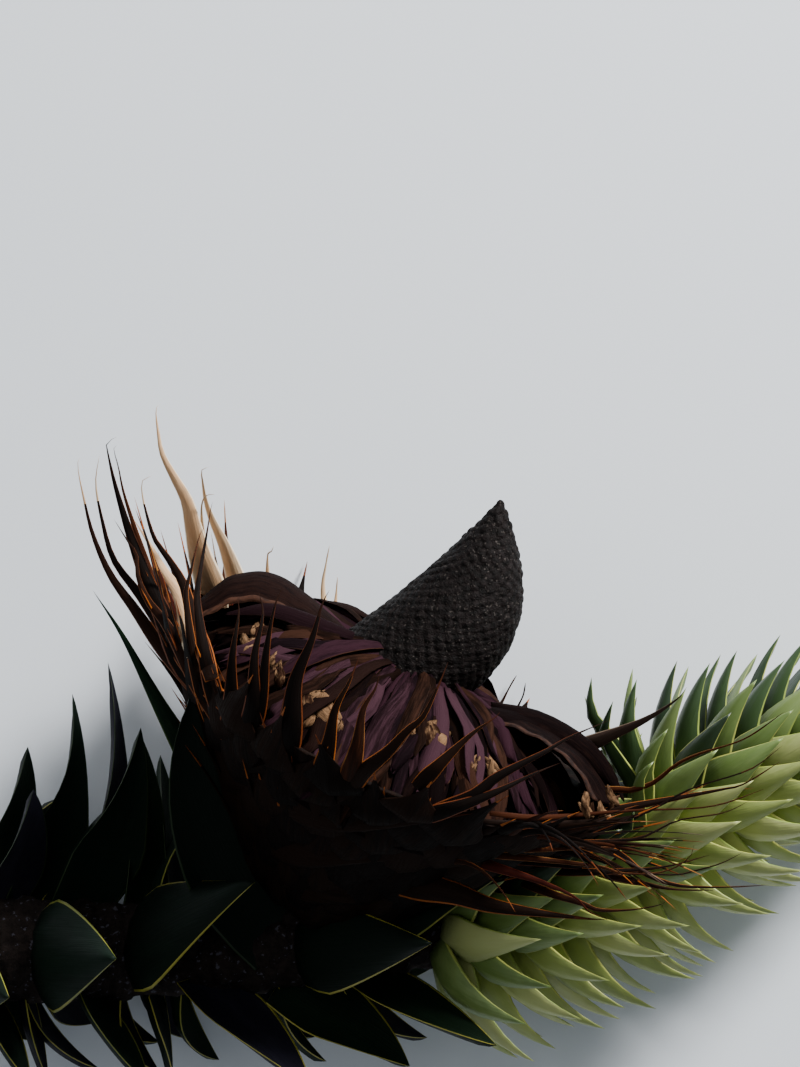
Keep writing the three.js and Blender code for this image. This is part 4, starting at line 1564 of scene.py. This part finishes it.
    def _folds(self, skin: Skin) -> None:
        """Adds the great folded sheets.

        Formula: across a sheet, with u from 0 at its far edge to 1 at its near edge, a point is
        far (1 - u)(1 - 2u) + fold 4u(1 - u) + near u(2u - 1), with crinkles of 0.25 sin(38 s) u² along it.
        Its under side lies 1.1 mm below.

        Args:
            skin: Where they go.
        """
        along, across = 44, 16
        s = np.linspace(0, 1, along)
        u = np.linspace(0, 1, across + 1)[None, :, None]
        for number, lines in enumerate(self.folds):
            far, fold, near = (curve_through(np.array(line, float), s)[:, None] for line in lines)
            sheet = far * (1 - u) * (1 - 2 * u) + fold * 4 * u * (1 - u) + near * u * (2 * u - 1)
            sheet = sheet + (0.25 * np.sin(38 * s + number))[:, None, None] * u**2 * np.array((0, 1, 0))
            normal = unit(np.cross(np.gradient(sheet, axis=1), np.gradient(sheet, axis=0)))
            under = (sheet - normal * 1.1)[:, -2:0:-1]
            rings = np.concatenate((sheet, under), axis=1)
            paint = np.full((1, along - 1, 2 * across), ScaleSlot.SMOOTH)
            # The near edge of each great sheet is painted lighter as the rim that catches the light
            paint[:, :, across - 1] = ScaleSlot.EDGE
            surface = stacked(np.arange(2 * across) * 1.8, s[:, None] * 60 + 90 * number)
            ends = (rings[None, 0].mean(axis=1), rings[None, -1].mean(axis=1))
            skin.add(rings[None], paint, surface[None], np.array((0.2 - 0.4 * number,)), ends)

    def build(self) -> bpy.types.Object:
        """Makes the whole disc.

        Returns:
            The piece.
        """
        skin = Skin()
        self._bed(skin)
        self._strips(skin)
        self._sheets(skin)
        self._torn_ends(skin)
        self._folds(skin)
        return skin.make("seed_scales", [finish.material() for finish in (*SCALE, SCALE_TORN, SCALE_EDGE_PAINTED_LIGHT)])


@dataclass(frozen=True)
class Awn:
    """A bract given one by one.

    Attributes:
        tone: Its colour.
        width: Its widest width in millimetres.
        line: Its line across the view.
        depth: Its depth at the line's start and end, or none where it lies on the cup.
        behind: Whether it lies on the cup's far side.
        over: How far it lies before the cup.
        tip: Its tip's colour, if not its own.
        painted_glow: Whether its edge is painted bright as a glow of light.
    """

    tone: BractTone
    width: float
    line: tuple[tuple[float, float], ...]
    depth: tuple[float, float] | None = None
    behind: bool = False
    over: float = 0.0
    tip: BractTone | None = None
    painted_glow: bool = True


DARK, RUST, PALE, GREY, RED, GREEN = BractTone
NAMED_AWNS = (
    # The tall bracts on the left, from the outermost in
    Awn(RUST, 6.2, ((-43, -46), (-51, -37), (-59, -28.4), (-66, -18.6), (-71.9, -10.4), (-76.2, -0.7),
        (-78.4, 8), (-80, 16.3), (-79.4, 19)), tip=PALE),
    Awn(DARK, 6.0, ((-42, -43), (-50.7, -34.3), (-57.3, -25.5), (-64.6, -15.3), (-71.1, -6.6), (-74.1, 3.7),
        (-75.5, 12.4), (-74.5, 19.4)), over=2, tip=PALE),
    Awn(DARK, 8.4, ((-47, -40), (-52, -34), (-55, -29), (-59.3, -19), (-63, -11), (-66.8, -0.8), (-68.8, 5.5),
        (-70.9, 13), (-72.5, 20.8), (-72.4, 22.5), (-70, 23.8)), over=6, tip=RUST),
    Awn(RUST, 4.8, ((-52, -34), (-58, -21), (-62.5, -9.3), (-68.3, 8.3), (-70, 16.3), (-71.1, 20.8),
        (-70.3, 21.9)), over=-6),
    Awn(RUST, 6.2, ((-45, -45), (-49, -38), (-52.5, -31.8), (-57.6, -22.8), (-62.5, -16.5), (-65, -10.3),
        (-65.3, -5.3), (-67.5, -2), (-71, 3.5)), over=7),
    Awn(GREEN, 7.5, ((-49, -62), (-53.8, -53), (-60, -41.8), (-68.5, -25.5), (-75.9, -14)), over=4),
    Awn(DARK, 5.4, ((-46, -36), (-48.5, -28), (-51.3, -20.5), (-53.5, -12.8), (-57.6, -6.1), (-61, -1.2),
        (-63.3, 6.3), (-64.1, 10.9), (-63.9, 13), (-61.4, 14.3)), over=2, tip=PALE),
    Awn(PALE, 7.6, ((-50, -30), (-52, -23), (-54.5, -15.8), (-58.8, -9.3), (-63, -1.8), (-66.6, 3.8)),
        over=-8),
    Awn(PALE, 9.0, ((-46.2, -20), (-46.8, -15.5), (-49.8, -5.8), (-51.5, 2), (-53, 8.3), (-56.4, 14.6),
        (-58.9, 19.6), (-59.8, 24.1), (-60.5, 30.4), (-59.5, 32)), behind=True),
    Awn(PALE, 7.0, ((-39.4, -20), (-40, -16.8), (-41.8, -9.5), (-44, -3), (-46.8, 3.3), (-48.3, 8), (-49, 13),
        (-49.1, 15.6), (-47.3, 16.3)), behind=True),
    Awn(PALE, 4.4, ((-46, -19.5), (-47, -14.3), (-48.8, -3), (-49.3, 4.3), (-49.1, 7.5), (-48.1, 9.3),
        (-45.8, 9.6)), behind=True),
    Awn(DARK, 5.6, ((-44, -46), (-47.5, -32), (-49.8, -17.3), (-49.3, -10.3), (-47.7, -0.3), (-46.9, 5.5),
        (-46.3, 8)), over=6, tip=RUST),
    Awn(DARK, 5.4, ((-46, -48), (-50, -34), (-51, -29.3), (-52.7, -15.3), (-51.8, -10.3), (-49.8, -1.2),
        (-48.3, 1.8)), over=4),
    Awn(PALE, 3.4, ((-32.6, -20), (-33, -16.8), (-33.4, -10.3), (-33.3, -5.3), (-32.5, -4.8), (-31.8, -3.3)),
        behind=True),
    Awn(PALE, 3.0, ((-19, -25), (-19, -20.5), (-19.5, -13.3), (-18.8, -8.3), (-17.8, -3)), behind=True),
    Awn(PALE, 3.0, ((-16.4, -26), (-16.5, -20.5), (-15.8, -11)), behind=True),
    # The spikes in front of the scales, from left to right
    Awn(DARK, 6.4, ((-42, -52), (-41.5, -42), (-41, -30), (-39.5, -20), (-39.8, -15.4)), over=1),
    Awn(DARK, 6.4, ((-38, -52), (-36, -42), (-35.5, -30), (-33.5, -20), (-34.6, -14)), over=3),
    Awn(DARK, 5.6, ((-37, -50), (-34, -40), (-32.5, -28), (-30.6, -18), (-28.4, -12.4)), over=1),
    Awn(DARK, 9.0, ((-30, -58), (-27, -48), (-25.5, -36), (-21.5, -26), (-19, -17.5), (-17, -13.6)), over=2),
    Awn(DARK, 6.0, ((-20, -61), (-17.5, -52), (-15.8, -43), (-12.5, -36.5), (-9.9, -30)), over=1),
    Awn(RUST, 6.4, ((-13, -62), (-10.5, -52), (-9, -43), (-6, -37.8), (-4.8, -33.5)), over=2),
    Awn(DARK, 6.0, ((-15, -66), (-9, -58.4), (-3, -53.3), (1.8, -48), (5.6, -44.6), (9, -37.8),
        (11.7, -31.3)), over=3),
    Awn(DARK, 5.0, ((4, -62), (12.5, -53.5), (18, -48.5), (23.1, -44.9), (24.3, -43.5)), over=1),
    Awn(DARK, 1.4, ((24, -46), (26, -42.4), (28, -38.6), (29.6, -35.9)), behind=True),
    Awn(DARK, 1.4, ((29, -49), (29.6, -44.7), (31.2, -41), (31.8, -37.8)), behind=True),
    Awn(DARK, 5.2, ((5, -70), (17.5, -64.3), (23.7, -59.4), (35.4, -53.3), (41.5, -49.8), (51.6, -45.6)),
        over=2),
    Awn(DARK, 5.2, ((4, -70), (15.3, -66.3), (23.7, -63), (33.2, -58.5), (39.5, -56)), over=3),
    # Broad bases low on the front of the cup, dark and without glow as painted shade
    Awn(DARK, 13.0, ((-26, -66), (-12, -69.5), (2, -70), (18, -68.5)), over=1, painted_glow=False),
    Awn(DARK, 15.0, ((-31, -75), (-18, -77.5), (0, -78.5), (17, -78)), over=0.5, painted_glow=False),
    Awn(DARK, 14.0, ((-28, -84), (-14, -88), (0, -89), (14, -88.5)), over=0.5, painted_glow=False),
    # The strands on the right, in front of the shoot
    Awn(RUST, 2.0, ((45, -65.5), (51.5, -63.6), (57.2, -63.8), (62.8, -61.9), (68.3, -57.4), (73.9, -54.6),
        (85, -50.8), (95, -43.8)), (16, 44)),
    Awn(DARK, 2.0, ((19, -70.5), (33, -71.6), (51.5, -70.8), (59.9, -69.2), (68.3, -64.7), (73.9, -62.2),
        (82.3, -59.7), (87.8, -57.4), (94.5, -52.1)), (38, 44), painted_glow=False),
    Awn(DARK, 2.6, ((50, -69), (68, -65.5), (79.5, -63.3), (85, -61.9), (94, -56.3)), (34, 38)),
    Awn(DARK, 2.4, ((15, -73), (34, -76), (51.5, -75.8), (59.9, -74.8), (68.3, -70.8), (79.5, -68.9),
        (86.2, -65.8)), (44, 46)),
    Awn(RUST, 1.9, ((22, -68.5), (36, -70), (57.2, -68.5), (76.7, -67.5), (90.6, -63)), (40, 36), painted_glow=False),
    Awn(RUST, 2.1, ((14, -77), (30, -78), (46, -77.5), (63.3, -77)), (50, 46)),
    Awn(RUST, 2.3, ((16, -78.5), (32, -80), (48.8, -82), (54.4, -83.7), (62.8, -83.7), (68.3, -82),
        (71.7, -79.2), (72.3, -76.4)), (50, 46)),
    Awn(DARK, 2.8, ((36, -84), (62.8, -82.5), (76.7, -79.2)), (46, 44)),
    Awn(DARK, 2.0, ((18, -80), (40, -82), (65.5, -84.3), (73.9, -83), (79.5, -81.4), (85, -78.6)), (42, 38)),
    Awn(DARK, 3.4, ((34, -76), (51.5, -78), (60, -83.7), (68.3, -86.8), (79.5, -87.3), (91.2, -86.8)),
        (48, 40)),
    Awn(RUST, 2.4, ((50, -84), (66, -87.6), (77.8, -88.1)), (44, 40)),
    Awn(RUST, 3.0, ((28, -86), (43.8, -90.9), (48.8, -92.8), (57.2, -92.8), (64.4, -91.5), (66, -89.8)),
        (46, 42)),
    Awn(RED, 3.4, ((16, -80), (32, -84.8), (42.6, -89.3), (46.5, -93.1), (51.5, -95.3)), (54, 46)),
    Awn(DARK, 9.0, ((-2, -86), (12.5, -88.5), (23.7, -92), (43.8, -94.8), (51.5, -95.3)), (44, 42)),
    Awn(GREY, 5.8, ((41.5, -57), (45, -53.6), (59.9, -46.8), (68.3, -41.3), (71, -37.9)), (4, 34)),
)


@dataclass(frozen=True)
class Bracts:
    """The cup of dry bracts: a wall of overlapping broad bases, each drawn out into an awn."""

    cone: ConeFrame
    shape: BladeShape = BladeShape(foot=0.9, widest=0.2, taper=1.2, drawn=0.85, curl=0.7, thickness=0.9,
                                   margin=0.08, awn=0.28, spine_from=0.9, rings=9, strips=4)
    awn: BladeShape = BladeShape(foot=0.8, widest=0.15, taper=1.25, drawn=0.5, curl=1.0, thickness=0.8,
                                 margin=0.16, awn=0.24, spine_from=0.86, rings=22)
    strand: BladeShape = BladeShape(foot=0.8, widest=0.15, taper=1.25, drawn=0.35, curl=1.0, thickness=0.8,
                                    margin=0.12, awn=0.22, spine_from=0.9, rings=12, strips=4)
    count: int = 170
    strands: int = 34
    low: tuple[float, float] = (4.0, 52.0)
    lift: tuple[float, float] = (14.0, 58.0)
    length: float = 44.0
    width: float = 20.0
    wall: tuple[float, float, float] = (10.0, 55.0, 4.5)
    tucked: float = 1.8
    # The share of a bract that follows the wall
    held: float = 0.4
    # Bracts against the table: the middle of their place round the cup, how far it reaches to either side,
    # how far they are lifted there and what they are shortened by
    hidden_at: float = 70.0
    hidden_reach: float = 85.0
    hidden_lift: float = 6.0
    hidden_shortening: float = 0.25
    # The degrees that bracts at the front are lifted, and how far this varies
    front_lift: tuple[float, float] = (50.0, 3.0)
    # The thin strands: where they stand round the cup and up it, and the typical value and how far it varies
    # of the degrees that they are lifted, their length and their width
    strand_turn: tuple[float, float] = (304.0, 60.0)
    strand_low: tuple[float, float] = (34.0, 55.0)
    strand_lift: tuple[float, float] = (12.0, 26.0)
    strand_length: tuple[float, float] = (45.0, 7.0)
    strand_width: tuple[float, float] = (2.4, 0.8)
    # The colours of the bracts and of the strands, in the order that they are dealt in
    tones: tuple[BractTone, ...] = (DARK, DARK, RUST, DARK, GREY, DARK, DARK, RED, DARK, RUST)
    strand_tones: tuple[BractTone, ...] = (RUST, DARK, GREY, DARK, DARK)
    # How far to the right bracts listed one by one still root in the cup, and not in the shade behind the
    # scales
    rooted_to: float = 41.0

    def _cup_wall(self, skin: Skin) -> None:
        """Adds the closed wall behind the bracts.

        Formula: ribs 0.5 sin(48 t + 0.2 h) run up it, with t round it and h up it.

        Args:
            skin: Where it goes.
        """
        low, high, thick = self.wall
        rings_up = 16
        turn = turns(200)[None]
        height = np.concatenate((np.linspace(low, high, rings_up), np.linspace(high - 1, low + 1, rings_up)))
        height = height[:, None]
        inside = (np.arange(len(height)) >= rings_up)[:, None]
        ribs = 0.5 * np.sin(np.radians(48 * turn) + 0.2 * height)
        radius = self.cone.cup_radius(height) - 0.8 - inside * thick + ribs
        rings = rested(self.cone.at(turn, radius, height))
        surface = stacked(turn * 0.9, height)
        skin.add(rings[None], np.full((1, 1, 1), DARK.slot), surface[None], np.zeros(1))

    def _grown(
        self,
        shape: BladeShape,
        turn: Array,
        low: Array,
        length: Array,
        lift: Array,
        lean: Array,
    ) -> Array:
        """Middle lines of bracts that follow the wall and then stand off it.

        Args:
            shape: The blade's shape.
            turn: Degrees round the cone at the foot.
            low: Height of the foot.
            length: Length along the line.
            lift: Degrees above the way straight out.
            lean: Degrees round the cone from foot to tip.

        Returns:
            Points of the lines.
        """
        wall = np.arctan(self.cone.cup_spread)
        hold = self.held * length
        radius = self.cone.cup_radius(low) + 0.5
        out, up = np.sin(wall) * hold, np.cos(wall) * hold
        lift = np.radians(lift)
        free = (1 - self.held) * length
        corners = (
            self.cone.at(turn, radius, low),
            self.cone.at(turn + 0.3 * lean, radius + out, low + up),
            self.cone.at(turn + lean, radius + out + free * np.cos(lift), low + up + free * np.sin(lift)),
        )
        return bezier(np.stack(corners, axis=1), shape.shares())

    def _scattered(self, skin: Skin) -> None:
        """Adds bracts all round the cup in spirals.

        Formula: with r from 0 for the lowest to 1, the length is shortened by 0.62 |sin t|^1.5 r, and on the
        right side the lift is 14 r cos t less. At the front and against the table it has values of its own.

        Args:
            skin: Where they go.
        """
        n = np.arange(self.count)
        row = n / (self.count - 1)
        turn = (n * GOLDEN_TURN) % 360
        aside = np.abs(np.sin(np.radians(turn)))
        front = np.maximum(-np.sin(np.radians(turn)), 0)
        low = lerp(*self.low, row**0.9)
        length = varied(self.length, 6, n) * (1 - 0.62 * aside**1.5 * row)
        lift = varied(lerp(*self.lift, row), 9, n + 0.4) - 14 * row * np.maximum(np.cos(np.radians(turn)), 0)
        lift = lerp(lift, varied(*self.front_lift, n + 0.4), front**0.7)
        hidden = ease(1 - np.abs(turned_from(turn, self.hidden_at)) / self.hidden_reach)
        lift = lerp(lift, self.hidden_lift, hidden)
        length = length * (1 - self.hidden_shortening * hidden)
        paths = self._grown(self.shape, turn, low, length, lift, 9 * uneven(n + 0.6))
        tones = dealt([tone.slot for tone in self.tones], n, 7)
        # The lowest bracts and those at the front are all DARK as painted shade
        tones = np.where((row < 0.3) | (front > 0.1), DARK.slot, tones)
        # Only every second upper bract away from the front gets edges with painted glow
        painted_glow = (row > 0.6) & (n % 2 > 0) & (front < 0.5)
        slots = np.stack((tones, tones + painted_glow, tones + 1), -1)
        width = varied(self.width * (1 - 0.3 * row * (1 - front)), 1.5, n + 0.8)
        facing = self.cone.outward(turn) * 0.75 - self.cone.axes()[2] * 0.66
        add_blades(skin, self.shape, paths, facing, width, slots, uneven(n + 0.12),
                   twist=0.35 * uneven(n + 0.22))

    def _strands(self, skin: Skin) -> None:
        """Adds thin dry awns that fan out of the right side of the rim.

        Args:
            skin: Where they go.
        """
        n = np.arange(self.strands)
        turn = self.strand_turn[0] + self.strand_turn[1] * ((n * GOLDEN_SHARES[0]) % 1)
        low = lerp(*self.strand_low, (n * GOLDEN_SHARES[1]) % 1)
        length, lift = varied(*self.strand_length, n), varied(*self.strand_lift, n + 0.3)
        paths = self._grown(self.strand, turn, low, length, lift, 10 * uneven(n + 0.6))
        tones = dealt([tone.slot for tone in self.strand_tones], n, 1)
        # Every third strand gets an edge with painted glow
        slots = np.stack((tones, tones + (n % 3 == 0), tones + 1), -1)
        facing = self.cone.outward(turn) * 0.6 + TOWARDS_VIEWER
        add_blades(skin, self.strand, paths, facing, varied(*self.strand_width, n + 0.8), slots,
                   uneven(n + 0.5), twist=1.2 * uneven(n + 0.7))

    def _set_by_eye(self, skin: Skin) -> None:
        """Adds the bracts that are listed one by one, at the depth of the cup where no depth is given.

        Args:
            skin: Where they go.
        """
        s = self.awn.shares()
        for number, row in enumerate(NAMED_AWNS):
            flat = curve_through(np.array(row.line, float), s)
            met = self.cone.depth(flat, self.cone.in_cup, row.behind)
            off = ease(s / 0.3)
            if row.depth:
                rooted = met[0] - self.tucked if flat[0, 0] < self.rooted_to else row.depth[0]
                depth = lerp(*row.depth, s)
                depth = depth + (rooted - depth[0]) * (1 - off)
            else:
                depth = smoothed(s, met) + lerp(min(-self.tucked, row.over), row.over, off)
            path = np.concatenate((flat, depth[:, None]), axis=1)[None]
            tip = row.tip or (RUST if row.tone is DARK else row.tone)
            # A row with a glowing edge gets the edge colour, a painted glow; other rows keep the face colour
            # there
            slots = np.array(((row.tone.slot, row.tone.slot + row.painted_glow, tip.slot),))
            seed = np.array((number + 0.5,))
            add_blades(skin, self.awn, path, TOWARDS_VIEWER[None], np.array((row.width,)), slots,
                       uneven(seed), twist=0.5 * uneven(seed + 0.2))

    def build(self) -> bpy.types.Object:
        """Makes the cup.

        Returns:
            The piece.
        """
        skin = Skin()
        self._cup_wall(skin)
        self._scattered(skin)
        self._strands(skin)
        self._set_by_eye(skin)
        return skin.make("bracts", [finish.material() for tone in BractTone for finish in tone.finishes()])


# The picture


@dataclass(frozen=True)
class Studio:
    """A pale floor, soft light and the camera of the photo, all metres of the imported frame."""

    middle: tuple[float, float] = (-0.0145, 0.0526)
    shown_height: float = 0.26675
    camera_distance: float = 3.0
    stem_height: float = 0.042
    film: float = 36.0
    floor_half: float = 2.0

    def _lamp(
        self,
        name: str,
        direction: tuple[float, float, float],
        distance: float,
        size: float,
        power: float,
    ) -> None:
        """Adds a square soft lamp that looks at the branch.

        Args:
            name: Its name.
            direction: The way from the branch to it.
            distance: How far away it is.
            size: The length of its side.
            power: Its watts.
        """
        lamp = bpy.data.lights.new(name, "AREA")
        lamp.size = size
        lamp.energy = power
        made = bpy.data.objects.new(name, lamp)
        away = Vector(direction).normalized()
        made.location = away * distance + Vector((*self.middle, self.stem_height))
        made.rotation_euler = away.to_track_quat("Z", "Y").to_euler()
        bpy.context.scene.collection.objects.link(made)

    def _floor(self) -> None:
        """Adds the pale floor."""
        half = self.floor_half
        corners = [(-half, -half, 0), (half, -half, 0), (half, half, 0), (-half, half, 0)]
        mesh = bpy.data.meshes.new("floor")
        mesh.from_pydata(corners, [], [(0, 1, 2, 3)])
        floor = bpy.data.objects.new("floor", mesh)
        paper = bpy.data.materials.new("pale paper")
        paper.use_nodes = True
        shader = paper.node_tree.nodes["Principled BSDF"]
        shader.inputs["Base Color"].default_value = linear("#e6ebf0")
        shader.inputs["Roughness"].default_value = 0.9
        mesh.materials.append(paper)
        bpy.context.scene.collection.objects.link(floor)

    def build(self) -> None:
        """Makes floor, light and camera."""
        self._floor()
        world = bpy.data.worlds.new("soft room")
        world.use_nodes = True
        world.node_tree.nodes["Background"].inputs["Color"].default_value = linear("#dfe8f2")
        world.node_tree.nodes["Background"].inputs["Strength"].default_value = 0.3
        bpy.context.scene.world = world
        self._lamp("key", direction=(0.62, 0.7, 0.55), distance=1.4, size=0.35, power=48.0)
        self._lamp("fill", direction=(-0.4, 0.2, 1.0), distance=1.6, size=1.2, power=5.0)
        lens = bpy.data.cameras.new("camera")
        lens.sensor_fit = "AUTO"
        lens.sensor_width = self.film
        lens.lens = self.film * self.camera_distance / self.shown_height
        lens.clip_end = 10
        camera = bpy.data.objects.new("camera", lens)
        camera.location = (*self.middle, self.stem_height + self.camera_distance)
        bpy.context.scene.collection.objects.link(camera)
        bpy.context.scene.camera = camera


def nodes_named(start: str, count: int) -> list[str]:
    """The names of numbered nodes."""
    return [f"{start}_{number}" for number in range(1, count + 1)]


def main() -> None:
    """Builds the branch piece by piece, sets it under the camera and keeps its size."""
    stem = Stem()
    cone = ConeFrame()
    pieces = (
        (stem.build(), "bark", ["stem"]),
        (Stalk(cone).build(), "bark", ["cone_stalk"]),
        (ConeCore(cone).build(), "core", ["cone_core"]),
        (SeedScales(cone).build(), "seed_scale", nodes_named("seed_scales", 6)),
        (Bracts(cone).build(), "bract", nodes_named("bract_arc", 10)),
        (OldLeaves(stem, cone).build(), "old_leaf",
         nodes_named("old_leaf", 20) + nodes_named("back_leaf", 8)),
        (ShootLeaves(stem, cone).build(), "young_leaf", nodes_named("shoot_foliage", 5)),
    )
    for piece, slot, nodes in pieces:
        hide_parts(*nodes)
        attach(piece, "root")
        low, high = (np.round(np.array(piece.bound_box)[corner] / MM, 1) for corner in (0, 6))
        log.info("%s: %d faces for %d nodes, from %s to %s mm", piece.name, len(piece.data.polygons),
                 len(nodes), low, high)
    Studio().build()


if __name__ == "__main__":
    logging.basicConfig(level=logging.INFO, format="%(name)s: %(message)s")
    main()
